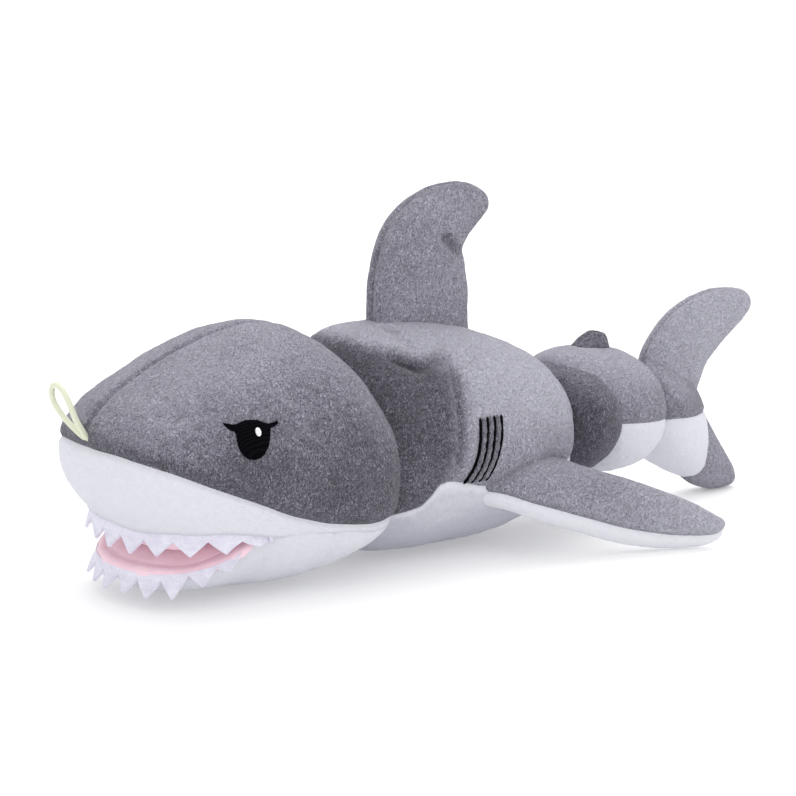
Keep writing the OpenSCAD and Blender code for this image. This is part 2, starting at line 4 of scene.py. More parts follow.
import bmesh
import bpy
import numpy as np
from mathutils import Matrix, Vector


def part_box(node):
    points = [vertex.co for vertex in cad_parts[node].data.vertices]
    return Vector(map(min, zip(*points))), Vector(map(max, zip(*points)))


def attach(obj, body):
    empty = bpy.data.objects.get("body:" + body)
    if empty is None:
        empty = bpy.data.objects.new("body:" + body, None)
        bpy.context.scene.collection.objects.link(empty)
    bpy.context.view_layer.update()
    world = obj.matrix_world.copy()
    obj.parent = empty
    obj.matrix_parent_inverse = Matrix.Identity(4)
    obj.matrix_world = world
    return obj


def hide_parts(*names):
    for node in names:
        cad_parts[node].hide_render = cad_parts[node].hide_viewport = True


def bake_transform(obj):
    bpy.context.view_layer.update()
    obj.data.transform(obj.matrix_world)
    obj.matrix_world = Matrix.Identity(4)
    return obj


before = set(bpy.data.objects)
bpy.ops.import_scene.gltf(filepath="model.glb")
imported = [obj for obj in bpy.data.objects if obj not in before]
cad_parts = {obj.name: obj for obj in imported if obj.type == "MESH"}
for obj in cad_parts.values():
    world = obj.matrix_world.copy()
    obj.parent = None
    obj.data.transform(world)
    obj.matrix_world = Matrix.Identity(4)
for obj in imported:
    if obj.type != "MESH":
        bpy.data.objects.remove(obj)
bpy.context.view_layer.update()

# Shapes are worked out in millimetres: distance from the nose, across (left is negative), height.
MM = 0.001
NOSE_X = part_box("muzzle_panel")[0].x
CLEAR_OF_FLOOR = 0.05
DRAWN_HALF_HEAD = 52.0
DRAWN_HALF_TORSO = 47.0
head_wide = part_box("head_panel_right")[1].y / MM / DRAWN_HALF_HEAD
torso_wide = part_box("belly_panel")[1].y / MM / DRAWN_HALF_TORSO


def to_frame(points):
    """Points in millimetres from the nose, in the frame's metres."""
    out = np.array(points, float) * MM
    out[..., 0] += NOSE_X
    return out


def place(s, y, z):
    return tuple(to_frame([s, y, z]))


def show(thing):
    """Puts an object into the scene."""
    bpy.context.scene.collection.objects.link(thing)
    return thing


# ---------- curves and noise ----------

def smooth_curve(points):
    """A smooth curve through (position, value) pairs that never overshoots them."""
    x, y = np.array(points, float).T
    h = np.diff(x)
    slope = np.diff(y) / h
    steep = np.zeros_like(y)
    same = slope[:-1] * slope[1:] > 0
    before = (2 * h[1:] + h[:-1])[same]
    after = (h[1:] + 2 * h[:-1])[same]
    inner = np.zeros(len(x) - 2)
    inner[same] = (before + after) / (before / slope[:-1][same] + after / slope[1:][same])
    steep[1:-1] = inner
    steep[0], steep[-1] = slope[0], slope[-1]

    def at(q):
        q = np.clip(q, x[0], x[-1])
        i = np.clip(np.searchsorted(x, q) - 1, 0, len(x) - 2)
        t = (q - x[i]) / h[i]
        return (y[i] * (1 + 2 * t) * (1 - t) ** 2 + y[i + 1] * t * t * (3 - 2 * t)
                + h[i] * t * (1 - t) * (steep[i] * (1 - t) - steep[i + 1] * t))
    return at


def ease(x, low, high):
    t = np.clip((x - low) / (high - low), 0, 1)
    return t * t * (3 - 2 * t)


def noise(points, scale, seed):
    """Smooth random values from -1 to 1, the same on every run."""
    q = points / scale + 500.0
    cell = np.floor(q).astype(np.int64)
    f = q - cell
    f = f * f * (3 - 2 * f)
    total = np.zeros(points.shape[:-1])
    for corner in itertools.product((0, 1), repeat=3):
        c = cell + np.array(corner)
        h = (c[..., 0] * 73856093) ^ (c[..., 1] * 19349663) ^ (c[..., 2] * 83492791) ^ (seed * 40503)
        h = (h & 0xFFFFFFFF) * 1274126177 & 0xFFFFFFFF
        h = ((h ^ (h >> 15)) * 2246822519) & 0xFFFFFFFF
        h = h ^ (h >> 13)
        weight = np.prod(np.where(np.array(corner) == 1, f, 1 - f), axis=-1)
        total += weight * (h / 2.0 ** 31 - 1)
    return total


def lumps(points, seed):
    """Filling that is a little uneven under the fabric, and the clumps of the pile."""
    return (0.75 * noise(points, 24, seed) + 0.30 * noise(points, 10, seed + 1)
            + 0.16 * noise(points, 3.2, seed + 2) + 0.12 * noise(points, 1.5, seed + 3))


def groove(distance, depth, width):
    return -depth * np.exp(-(distance / width) ** 2)


def along(points):
    """Distance run along a line of points."""
    steps = np.linalg.norm(np.diff(points, axis=0), axis=1)
    return np.concatenate([[0], np.cumsum(steps)])


def spaced(points, count):
    """The same line with evenly spaced points."""
    run = along(points)
    at = np.linspace(0, run[-1], count)
    return np.stack([np.interp(at, run, points[:, k]) for k in range(3)], axis=1)


def line_distance(points, line):
    """Distance of each point from a line of straight pieces, and the share of the line up to there."""
    line = np.array(line, float)
    run = along(line)
    best = np.full(points.shape[:-1], 1e9)
    reached = np.zeros(points.shape[:-1])
    for a, b, start in zip(line[:-1], line[1:], run[:-1]):
        d = b - a
        t = np.clip((points - a) @ d / (d @ d), 0, 1)
        far = np.linalg.norm(points - (a + t[..., None] * d), axis=-1)
        nearer = far < best
        best[nearer] = far[nearer]
        reached[nearer] = (start + t * np.linalg.norm(d))[nearer]
    return best, reached / run[-1]


# ---------- meshes ----------

def grid_normals(grid, centre, wraps):
    """Outward unit normals of a grid of points. A grid that wraps repeats its first column as its last."""
    down = np.gradient(grid, axis=0)
    if wraps:
        wide = np.concatenate([grid[:, -2:-1], grid, grid[:, 1:2]], axis=1)
        across = (wide[:, 2:] - wide[:, :-2]) / 2
    else:
        across = np.gradient(grid, axis=1)
    n = np.cross(down, across)
    length = np.linalg.norm(n, axis=-1, keepdims=True)
    n = n / np.maximum(length, 1e-12)
    for end, beside in ((0, 1), (-1, -2)):
        if np.max(length[end]) < 1e-4:
            n[end] = n[beside].mean(axis=0) / max(np.linalg.norm(n[beside].mean(axis=0)), 1e-9)
    if np.mean(np.sum(n * (grid - centre), axis=-1)) < 0:
        n = -n
    return n


def grid_faces(rows, columns, start, flip):
    r, c = np.meshgrid(np.arange(rows - 1), np.arange(columns - 1), indexing="ij")
    a = start + r * columns + c
    quad = np.stack([a, a + 1, a + columns + 1, a + columns], axis=-1).reshape(-1, 4)
    return quad[:, ::-1] if flip else quad


def rim_faces(loop_a, loop_b):
    return np.stack([loop_a[:-1], loop_a[1:], loop_b[1:], loop_b[:-1]], axis=-1)


def mesh_piece(name, vertices, faces, material, shade=None):
    mesh = bpy.data.meshes.new(name)
    mesh.from_pydata(vertices.tolist(), [], faces.tolist())
    if shade is not None:
        layer = mesh.attributes.new("shade", "FLOAT", "POINT")
        layer.data.foreach_set("value", np.asarray(shade, np.float32))
    bm = bmesh.new()
    bm.from_mesh(mesh)
    bmesh.ops.remove_doubles(bm, verts=bm.verts, dist=2e-6)
    bmesh.ops.recalc_face_normals(bm, faces=bm.faces)
    bm.to_mesh(mesh)
    bm.free()
    mesh.polygons.foreach_set("use_smooth", [True] * len(mesh.polygons))
    mesh.set_sharp_from_angle(angle=math.radians(62))
    mesh.materials.append(material)
    return show(bpy.data.objects.new(name, mesh))


def fabric(name, outer, normals, material, thickness=1.2, wraps=False, shade=None):
    """A closed sheet of fabric: the outer face, an inner face below it and the edges between them."""
    rows, columns = outer.shape[:2]
    inner = outer - normals * thickness
    count = rows * columns
    index = np.arange(count).reshape(rows, columns)
    faces = [
        grid_faces(rows, columns, 0, False), grid_faces(rows, columns, count, True),
        rim_faces(index[0], index[0] + count), rim_faces(index[-1] + count, index[-1]),
    ]
    if not wraps:
        first, last = index[:, 0], index[:, -1]
        faces += [rim_faces(first + count, first), rim_faces(last, last + count)]
    vertices = to_frame(np.concatenate([outer.reshape(-1, 3), inner.reshape(-1, 3)]))
    if shade is not None:
        shade = np.concatenate([shade.ravel(), shade.ravel()])
    return mesh_piece(name, vertices, np.concatenate(faces), material, shade)


def tube(name, line, radii, material, sides=12):
    """A closed tube along a line of points, with a radius at each of them."""
    line = np.array(line, float)
    radii = np.broadcast_to(radii, len(line))
    heading = np.gradient(line, axis=0)
    heading /= np.linalg.norm(heading, axis=1, keepdims=True)
    side = np.cross(heading, [0.31, 0.2, 0.93])
    side /= np.linalg.norm(side, axis=1, keepdims=True)
    other = np.cross(heading, side)
    turn = np.linspace(0, 2 * np.pi, sides + 1)
    ring = side[:, None] * np.cos(turn)[None, :, None] + other[:, None] * np.sin(turn)[None, :, None]
    grid = line[:, None] + ring * radii[:, None, None]
    ends = [np.repeat(line[k][None, None], sides + 1, axis=1) for k in (0, -1)]
    grid = np.concatenate([ends[0], grid, ends[1]])
    faces = grid_faces(grid.shape[0], sides + 1, 0, False)
    return mesh_piece(name, to_frame(grid.reshape(-1, 3)), faces, material)


# ---------- materials ----------

class Finish:
    """A material made of noise. Its values are node outputs, worked out at each place on the object."""

    def __init__(self, name):
        self.material = bpy.data.materials.new(name)
        self.material.use_nodes = True
        self.tree = self.material.node_tree
        self.where = self.add("TexCoord", {}).outputs["Object"]

    def put(self, node, inputs):
        """Sets inputs to numbers or colours, or links them to other nodes' outputs."""
        for name, value in inputs.items():
            if isinstance(value, bpy.types.NodeSocket):
                self.tree.links.new(value, node.inputs[name])
            else:
                node.inputs[name].default_value = value

    def add(self, kind, inputs):
        node = self.tree.nodes.new(f"ShaderNode{kind}")
        self.put(node, inputs)
        return node

    def turned(self, stretch=(1, 1, 1), turn=(0, 0, 0)):
        mapping = self.add("Mapping", {"Vector": self.where, "Scale": stretch, "Rotation": turn})
        return mapping.outputs["Vector"]

    def noise(self, scale, detail=2.0, stretch=(1, 1, 1), turn=(0, 0, 0), swirl=0.0):
        node = self.add("TexNoise", {"Vector": self.turned(stretch, turn), "Scale": scale, "Detail": detail,
                                     "Distortion": swirl})
        return node.outputs["Fac"]

    def remap(self, value, low, high, to_low, to_high):
        node = self.add("MapRange", {"Value": value, "From Min": low, "From Max": high, "To Min": to_low,
                                     "To Max": to_high})
        return node.outputs["Result"]

    def combine(self, how, a, b):
        node = self.add("Math", {0: a, 1: b})
        node.operation = how
        return node.outputs["Value"]

    def mix(self, a, b, share_b):
        b_part = self.combine("MULTIPLY", b, share_b)
        return self.combine("ADD", self.combine("MULTIPLY", a, 1 - share_b), b_part)

    def ramp(self, value, stops):
        node = self.add("ValToRGB", {"Fac": value})
        stop = node.color_ramp.elements
        stop.remove(stop[1])
        stop[0].position = stops[0][0]
        stop[0].color = (*stops[0][1], 1)
        for position, colour in stops[1:]:
            stop.new(position).color = (*colour, 1)
        return node.outputs["Color"]

    def bump(self, height, strength, distance, under=None):
        node = self.add("Bump", {"Height": height, "Strength": strength, "Distance": distance})
        if under is not None:
            self.put(node, {"Normal": under})
        return node.outputs["Normal"]

    def surface(self, inputs):
        self.put(self.tree.nodes["Principled BSDF"], inputs)
        return self.material


def plush(name, stops, sheen, contrast, relief):
    """Short velvety pile: fibre speckle, wavy strands of nap, clumps, and broad patches brushed another way.
    The mesh's shade attribute holds painted light and shade (lighter tops, darker creases and undersides),
    with the pile's nap in some places. Where it is lighter, the pile is smoother."""
    make = Finish(name)
    fibre = make.noise(2600, 3.0)
    strand = make.noise(1100, 1.0, stretch=(1.0, 1.0, 0.55), turn=(0.2, 0.1, 0.3), swirl=2.2)
    clump = make.noise(420, 2.0, stretch=(0.8, 1.0, 1.2), swirl=0.6)
    brushed = make.noise(40, 2.0)
    attribute = make.add("Attribute", {})
    attribute.attribute_name = "shade"
    shade = attribute.outputs["Fac"]
    tone = make.remap(fibre, 0.25, 0.75, -0.12, 0.12)
    for value, low, reach in ((strand, 0.3, 0.22), (clump, 0.25, 0.03), (brushed, 0.3, 0.04)):
        tone = make.combine("ADD", tone, make.remap(value, low, 1 - low, -reach, reach))
    # The painted light and shade of the mesh's shade attribute move the tone and set how strong the speckle
    # is
    tone = make.combine("MULTIPLY", tone, make.remap(shade, -0.3, 0.5, 1.15 * contrast, 0.45 * contrast))
    tone = make.combine("ADD", make.combine("ADD", tone, shade), 0.5)
    nap = make.bump(strand, relief, 0.0014, make.bump(clump, relief, 0.0018))
    return make.surface({
        "Base Color": make.ramp(tone, stops), "Roughness": make.remap(strand, 0.2, 0.8, 0.82, 0.98),
        "Sheen Weight": sheen, "Sheen Roughness": 0.45, "Sheen Tint": (0.92, 0.92, 1.0, 1),
        "Specular IOR Level": 0.15, "Normal": make.bump(fibre, relief, 0.0004, nap)})


def felt(name, dark, light):
    make = Finish(name)
    fibre = make.noise(1300, 4.0)
    matted = make.noise(280, 3.0, stretch=(1, 0.5, 1.4))
    return make.surface({
        "Base Color": make.ramp(make.mix(fibre, matted, 0.5), [(0.3, dark), (0.65, light)]),
        "Roughness": make.remap(matted, 0.2, 0.8, 0.85, 0.97), "Sheen Weight": 0.25,
        "Specular IOR Level": 0.12, "Normal": make.bump(fibre, 0.4, 0.0003, make.bump(matted, 0.35, 0.0006))})


def thread(name, dark, light, roughness, turn, pitch=1700, gloss=0.2):
    """Rows of stitched thread, laid side by side."""
    make = Finish(name)
    waves = make.add("TexWave", {"Vector": make.turned(turn=turn), "Scale": pitch / (2 * math.pi),
                                 "Distortion": 1.2, "Detail": 1.5})
    rows = waves.outputs["Fac"]
    fuzz = make.noise(900, 2.0)
    return make.surface({
        "Base Color": make.ramp(make.mix(rows, fuzz, 0.4), [(0.15, dark), (0.85, light)]),
        "Roughness": make.remap(fuzz, 0.2, 0.8, roughness - 0.08, roughness + 0.1),
        "Specular IOR Level": gloss, "Normal": make.bump(rows, 0.4, 0.0002)})


def knit_lining(name, dark, light):
    """Smooth lining fabric with a fine knit and soft pulls."""
    make = Finish(name)
    knit = make.noise(1100, 2.0, stretch=(0.6, 1.3, 1.0))
    pull = make.noise(90, 2.0, stretch=(1, 0.4, 1))
    return make.surface({
        "Base Color": make.ramp(make.mix(knit, pull, 0.55), [(0.3, dark), (0.7, light)]),
        "Roughness": make.remap(pull, 0.2, 0.8, 0.6, 0.8), "Sheen Weight": 0.3,
        "Normal": make.bump(knit, 0.35, 0.0003, make.bump(pull, 0.3, 0.0012))})


def moulded(name, dark, light):
    make = Finish(name)
    cloud = make.noise(120, 3.0)
    grain = make.noise(1400, 2.0)
    return make.surface({
        "Base Color": make.ramp(cloud, [(0.3, dark), (0.7, light)]),
        "Roughness": make.remap(grain, 0.2, 0.8, 0.4, 0.55), "Normal": make.bump(grain, 0.15, 0.0002)})


FLOOR_GLOW = 0.25
FLOOR_GREYS = (0.755, 0.77)


def pale_stage(name):
    make = Finish(name)
    dark, light = FLOOR_GREYS
    return make.surface({
        "Base Color": make.ramp(make.noise(3, 2.0), [(0.3, (dark,) * 3), (0.7, (light,) * 3)]),
        "Roughness": 0.9, "Specular IOR Level": 0.1, "Emission Color": (1, 1, 1, 1),
        "Emission Strength": FLOOR_GLOW})


GREY_STOPS = [(0.0, (0.058, 0.056, 0.072)), (0.25, (0.115, 0.111, 0.140)), (0.5, (0.215, 0.209, 0.259)),
              (0.75, (0.352, 0.345, 0.412)), (1.0, (0.545, 0.540, 0.625))]
WHITE_STOPS = [(0.0, (0.48, 0.485, 0.55)), (0.4, (0.68, 0.685, 0.745)), (0.9, (0.77, 0.775, 0.825))]
# Painted light and shade of each part, from the middle tone: the cheek is painted shade, and the shoulder and
# back also hold the pile's nap
CHEEK_PAINTED_SHADE = -0.27
SHOULDER_NAP_AND_SHADE = -0.30
BACK_NAP_AND_LIGHT = 0.22
grey_plush = plush("grey_plush", GREY_STOPS, 0.35, 1.8, 1.0)
white_plush = plush("white_plush", WHITE_STOPS, 0.15, 0.3, 0.4)
tooth_felt = felt("tooth_felt", (0.60, 0.585, 0.70), (0.76, 0.745, 0.84))
mouth_lining = knit_lining("mouth_lining", (0.84, 0.57, 0.66), (0.93, 0.69, 0.77))
black_thread = thread("black_thread", (0.001, 0.001, 0.0015), (0.004, 0.004, 0.006), 0.75,
                      (0, 0, math.pi / 2), 3600, gloss=0.02)
white_thread = thread("white_thread", (0.7, 0.7, 0.74), (0.9, 0.9, 0.92), 0.55, (0, math.pi / 2, 0))
loop_cord = thread("loop_cord", (0.62, 0.64, 0.48), (0.80, 0.82, 0.67), 0.7, (0, math.pi / 4, 0), 3200)
squeaker_plastic = moulded("squeaker_plastic", (0.70, 0.66, 0.56), (0.80, 0.76, 0.66))


def sewn(piece, nodes, body=None, bend=None):
    """Hides the CAD nodes that a piece stands for and hangs the piece on the body that moves it. A piece
    given a bend has its place baked into its mesh instead, and the bend's bodies are not used."""
    if nodes:
        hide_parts(*nodes)
    if bend:
        body_a, body_b, start, end = bend
        place(*start)
        place(*end)
        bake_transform(piece)
    else:
        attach(piece, body)


# ---------- camera and hanging loop ----------

CAMERA_TURN = math.radians(-36)
CAMERA_RISE = math.radians(11)
CAMERA_DISTANCE = 0.926
TARGET = Vector(place(149.7, 0, 65.3))
CAMERA_LENS = 98.8
SENSOR_WIDTH = 36


def add_camera():
    back = Vector((math.sin(CAMERA_TURN) * math.cos(CAMERA_RISE),
                   -math.cos(CAMERA_TURN) * math.cos(CAMERA_RISE), math.sin(CAMERA_RISE)))
    data = bpy.data.cameras.new("camera")
    data.lens = CAMERA_LENS
    data.sensor_width = SENSOR_WIDTH
    camera = show(bpy.data.objects.new("camera", data))
    camera.location = TARGET + back * CAMERA_DISTANCE
    camera.rotation_euler = back.to_track_quat("Z", "Y").to_euler()
    bpy.context.scene.camera = camera


add_camera()

LOOP_DIAMETER = 2.4
LOOP_ROUTE = [
    (2.2, -1.6, 66), (0, -2.2, 68), (-2, -2.6, 70.8), (-4, -2.8, 74.2), (-5.5, -2.8, 78),
    (-6.5, -2, 81.8), (-7.2, 0, 85), (-7.6, 2.8, 87.1), (-7.8, 6, 87.6), (-7.6, 9.2, 86.6),
    (-7, 11.4, 83.6), (-6.2, 11.6, 80.2), (-5, 10.2, 77), (-3.6, 8, 73.8), (-1.8, 5.4, 70.8),
    (0, 3, 68.2), (2.2, 1.6, 66),
]


def hanging_loop():
    curve = bpy.data.curves.new("hang_loop", "CURVE")
    curve.dimensions = "3D"
    curve.bevel_depth = LOOP_DIAMETER / 2 * MM
    curve.bevel_resolution = 4
    curve.resolution_u = 8
    spline = curve.splines.new("NURBS")
    spline.points.add(len(LOOP_ROUTE) - 1)
    for point, at in zip(spline.points, LOOP_ROUTE):
        point.co = (*place(*at), 1)
    spline.use_endpoint_u = True
    spline.order_u = 3
    curve.materials.append(loop_cord)
    piece = show(bpy.data.objects.new("hang_loop_cord", curve))
    sewn(piece, ["hang_loop"], body="head")
    place(*LOOP_ROUTE[0])


hanging_loop()

# ---------- head ----------

HEAD_END = 127.0
HEAD_CENTRE = np.array([62.0, 0.0, 52.0])


def nose_curve(points):
    """A curve through body stations that leaves the nose tip at a right angle."""
    curve = smooth_curve([(math.sqrt(s), value) for s, value in points])
    return lambda s: curve(np.sqrt(np.maximum(s, 0)))


head_half = nose_curve([(0, 0), (1, 16), (2.5, 24), (5, 30.5), (10, 37.5), (18, 44), (30, 48.6), (45, 51),
                        (64, 52), (82, 52.8), (96, 53.6), (106, 53), (113, 50), (119, 43), (124, 30),
                        (127, 3)])
head_top = nose_curve([(0, 61), (2, 72), (5, 76), (10, 80.5), (21, 87), (32, 92.5), (43, 97.5), (55, 101.5),
                       (66, 104.2), (76, 105), (86, 103.6), (96, 99.4), (105, 93), (113, 84.5), (119, 76),
                       (124, 66), (127, 52)])
head_low = nose_curve([(0, 57), (2, 46), (5, 40), (10, 34), (18, 26), (30, 17), (45, 8), (60, 1), (70, -1),
                       (85, -2), (100, 0), (110, 5), (118, 14), (124, 28), (127, 48)])
grey_edge = smooth_curve([(-5, 63.5), (2, 63), (5, 62), (14, 58.5), (26, 53), (48, 43.3), (66, 35.3),
                          (84, 30), (106, 27.5), (130, 28)])
lip_line = smooth_curve([(-5, 32), (8, 32.5), (20, 34), (32, 34), (46, 32.6), (60, 29.8), (72, 28.6),
                         (84, 28), (106, 25.8), (130, 26)])
CORNER_S = 55.0
HEAD_UPPER_POWER = 2.1
HEAD_LOWER_POWER = 2.2


def head_measure(p):
    s, y, z = np.clip(p[..., 0], 0, HEAD_END), p[..., 1], p[..., 2]
    half = np.maximum(head_half(s) * head_wide, 0.05)
    top, low = head_top(s), head_low(s)
    middle, tall = (top + low) / 2, np.maximum((top - low) / 2, 0.05)
    power = np.where(z > middle, HEAD_UPPER_POWER, HEAD_LOWER_POWER)
    outside = (p[..., 0] < 0) | (p[..., 0] > HEAD_END)
    return np.where(outside, 9.0, (np.abs(y) / half) ** power + (np.abs(z - middle) / tall) ** power - 1)


def section_side(half, top, low, z, upper_power, lower_power):
    """Half width, at height z, of a rounded cross-section."""
    middle, tall = (top + low) / 2, (top - low) / 2
    power = np.where(z > middle, upper_power, lower_power)
    return half * np.maximum(1 - (np.abs(z - middle) / tall) ** power, 0) ** (1 / power)


def head_side_y(s, z):
    """Half width of the head at a place on its side."""
    return section_side(head_half(s) * head_wide, head_top(s), head_low(s), z, HEAD_UPPER_POWER,
                        HEAD_LOWER_POWER)


def head_rays(heading, elevation):
    """Points on the head where rays from its centre leave it."""
    direction = np.stack([np.cos(heading) * np.cos(elevation), np.sin(heading) * np.cos(elevation),
                          np.sin(elevation)], axis=-1)
    near = np.zeros(direction.shape[:-1])
    far = np.full(direction.shape[:-1], 160.0)
    for _ in range(34):
        middle = (near + far) / 2
        inside = head_measure(HEAD_CENTRE + direction * middle[..., None]) < 0
        near = np.where(inside, middle, near)
        far = np.where(inside, far, middle)
    return HEAD_CENTRE + direction * near[..., None]


HEAD_COLUMNS = 360
CROWN_ROWS = 110
MUZZLE_ROWS = 34


def crossing(elevations, gap):
    """The first elevation in each column at which gap falls below zero."""
    below = gap < 0
    index = np.maximum(np.argmax(below, axis=0), 1)
    columns = np.arange(gap.shape[1])
    a, b = gap[index - 1, columns], gap[index, columns]
    share = a / (a - b)
    return elevations[index - 1] + share * (elevations[index] - elevations[index - 1])


def head_surface():
    heading = np.linspace(0, 2 * np.pi, HEAD_COLUMNS + 1)
    elevations = np.radians(np.linspace(89.9, -75, 260))
    coarse = head_rays(*np.meshgrid(heading, elevations))
    edge = crossing(elevations, coarse[..., 2] - grey_edge(coarse[..., 0]))
    lip = crossing(elevations, coarse[..., 2] - lip_line(coarse[..., 0]))
    columns = []
    for j in range(HEAD_COLUMNS + 1):
        run = along(coarse[:, j])
        at_edge = np.interp(-edge[j], -elevations, run)
        at_lip = np.interp(-lip[j], -elevations, run)
        stations = np.concatenate([np.linspace(0, at_edge, CROWN_ROWS + 1),
                                   np.linspace(at_edge, at_lip, MUZZLE_ROWS + 1)[1:]])
        columns.append(np.interp(stations, run, elevations))
    rows = np.array(columns).T
    rows[0] = np.pi / 2
    return head_rays(np.broadcast_to(heading, rows.shape), rows)


def tucked(points, normals, steps):
    """Rows that turn a fabric edge inwards: each step is (outwards, upwards) from the edge."""
    flat = normals * [1, 1, 0]
    flat /= np.maximum(np.linalg.norm(flat, axis=-1, keepdims=True), 1e-6)
    return np.stack([points + flat * out + np.array([0, 0, rise]) for out, rise in steps])


head_grid = head_surface()
head_normals = grid_normals(head_grid, HEAD_CENTRE, True)
column_run = np.cumsum(np.linalg.norm(np.diff(head_grid, axis=0, prepend=head_grid[:1]), axis=-1), axis=0)
edge_distance = column_run - column_run[CROWN_ROWS]
head_out = lumps(head_grid, 11)
crown = groove(head_grid[..., 1], 1.5, 1.7) * (edge_distance < 0) * ease(-edge_distance, -1, 4)
head_out += crown + groove(edge_distance, 1.1, 1.3) + 0.5 * np.exp(-((edge_distance + 5) / 4) ** 2)
head_out += 0.4 * np.exp(-((np.abs(head_grid[..., 1]) - 4.5) / 2.5) ** 2) * (edge_distance < -6)
head_skin = head_grid + head_normals * head_out[..., None]
TUCK = [(0.1, -0.9), (-0.7, -1.7), (-2.0, -1.9), (-3.4, -1.3), (-4.6, -0.4)]
tuck_rows = tucked(head_skin[-1], head_normals[-1], TUCK)
muzzle_skin = np.concatenate([head_skin[CROWN_ROWS:], tuck_rows])
muzzle_normals = grid_normals(muzzle_skin, HEAD_CENTRE, True)
skin_normals = grid_normals(head_skin, HEAD_CENTRE, True)

# Painted shade in the crown seam and along the edge of the white, painted shade on the cheeks and painted
# light on tops that face up; the head also grows darker towards the rear
head_shade = 0.08 * crown + 0.056 * groove(edge_distance, 0.5, 1.0)
head_shade += CHEEK_PAINTED_SHADE + 0.56 * ease(skin_normals[..., 2], -0.1, 1)
head_shade -= 0.05 * ease(head_grid[..., 0], 70, 110)

NECK_BEND = ("torso", "head", (118, 0, 52), (104, 0, 52))
half_way = HEAD_COLUMNS // 2
for side_name, columns in (("right", slice(0, half_way + 1)), ("left", slice(half_way, HEAD_COLUMNS + 1))):
    rows = slice(0, CROWN_ROWS + 1)
    panel = fabric(f"head_{side_name}_panel", head_skin[rows, columns], skin_normals[rows, columns],
                   grey_plush, shade=head_shade[rows, columns])
    stuffing = ["head_stuffing"] if side_name == "left" else []
    sewn(panel, [f"head_panel_{side_name}"] + stuffing, bend=NECK_BEND)

# Painted shade on the white muzzle along its seam with the grey and on its edge tucked into the mouth
white_shade = -0.10 * np.exp(-(edge_distance[CROWN_ROWS:] / 1.6) ** 2)
white_shade = np.concatenate([white_shade, np.repeat(white_shade[-1:] - 0.25, len(TUCK), axis=0)])
muzzle = fabric("muzzle", muzzle_skin, muzzle_normals, white_plush, wraps=True, shade=white_shade)
sewn(muzzle, ["muzzle_panel"], bend=NECK_BEND)

# ---------- chin and throat ----------

CHIN_START = 13.0
CHIN_END = 124.8
CHIN_CENTRE = np.array([70.0, 0, 20])
CHIN_POWER = 2.0
# The seam between chin and throat is no further forward than this
THROAT_START = 84.0
chin_half = smooth_curve([(0, 0), (1, 10), (2, 14), (4, 20), (8, 27), (14, 33.5), (20, 37.5), (29, 41.5),
                          (38, 44.5), (47, 47), (55, 48.5), (71, 49.5), (87, 49), (99, 44), (107, 34),
                          (112, 12)])
lower_lip = smooth_curve([(13, 14), (20, 15), (33, 18.5), (44, 23.5), (55, 30.4), (62, 29.4), (72, 28.4),
                          (84, 27.8), (106, 25.6), (127, 26)])
chin_low = smooth_curve([(13, 12.5), (14, 10), (16, 7.5), (19, 5.5), (24, 3.8), (34, 2.6), (48, 1.2),
                         (62, 0.4), (78, 0.8), (90, 3), (98, 6), (106, 10), (113, 15.5), (119, 21),
                         (125, 25.5)])


def chin_ring(s, count):
    """One cross-section from the left rim, under the jaw, to the right rim, with its edges tucked in."""
    half = float(chin_half(s - CHIN_START)) * head_wide
    rim, low = float(lower_lip(s)), float(chin_low(s))
    if s > CORNER_S:
        on_head = float(head_side_y(np.array(s), np.array(rim)))
        half += (on_head - half) * float(ease(s, CORNER_S, CORNER_S + 10))
    turn = np.linspace(0, np.pi, 400)
    y = -half * np.sign(np.cos(turn)) * np.abs(np.cos(turn)) ** (2 / CHIN_POWER)
    z = rim - (rim - low) * np.sin(turn) ** (2 / CHIN_POWER)
    ring = spaced(np.stack([np.full_like(y, s), y, z], axis=1), count)
    tuck = min(3.2, half * 0.5)
    edges = [[-0.25, 0.3], [-1.3, 0.4], [-tuck, -0.2]]
    left = [[s, ring[0, 1] - inwards, rim + rise] for inwards, rise in reversed(edges)]
    right = [[s, ring[-1, 1] + inwards, rim + rise] for inwards, rise in edges]
    return np.concatenate([left, ring, right])


CHIN_COLUMNS = 120
front_stations = CHIN_START + 12 * np.linspace(0.02, 1, 26) ** 2
chin_stations = np.concatenate([front_stations, np.arange(26.2, CHIN_END, 1.15)])
chin_grid = np.array([chin_ring(s, CHIN_COLUMNS) for s in chin_stations])
chin_normals = grid_normals(chin_grid, CHIN_CENTRE, False)
throat_start = max((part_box("throat_panel")[0].x - NOSE_X) / MM, THROAT_START)
throat_row = int(np.argmin(np.abs(chin_stations - throat_start)))
chin_out = 0.8 * lumps(chin_grid, 31) + groove(chin_grid[..., 0] - chin_stations[throat_row], 0.7, 1.4)
chin_skin = chin_grid + chin_normals * chin_out[..., None]
chin_skin[..., 2] = np.maximum(chin_skin[..., 2], CLEAR_OF_FLOOR)
chin_skin_normals = grid_normals(chin_skin, CHIN_CENTRE, False)
# Painted shade on the chin and throat, darker towards the floor
chin_shade = -0.04 - 0.10 * (1 - ease(chin_skin[..., 2], 0, 14))
JAW_BEND = ("head", "jaw", (86, 0, 24), (60, 0, 24))
chin_piece = fabric("chin", chin_skin[:throat_row + 1], chin_skin_normals[:throat_row + 1], white_plush,
                    shade=chin_shade[:throat_row + 1])
sewn(chin_piece, ["chin_panel", "jaw_stuffing"], bend=JAW_BEND)
throat_piece = fabric("throat", chin_skin[throat_row:], chin_skin_normals[throat_row:], white_plush,
                      shade=chin_shade[throat_row:])
sewn(throat_piece, ["throat_panel"], bend=NECK_BEND)

# ---------- mouth ----------

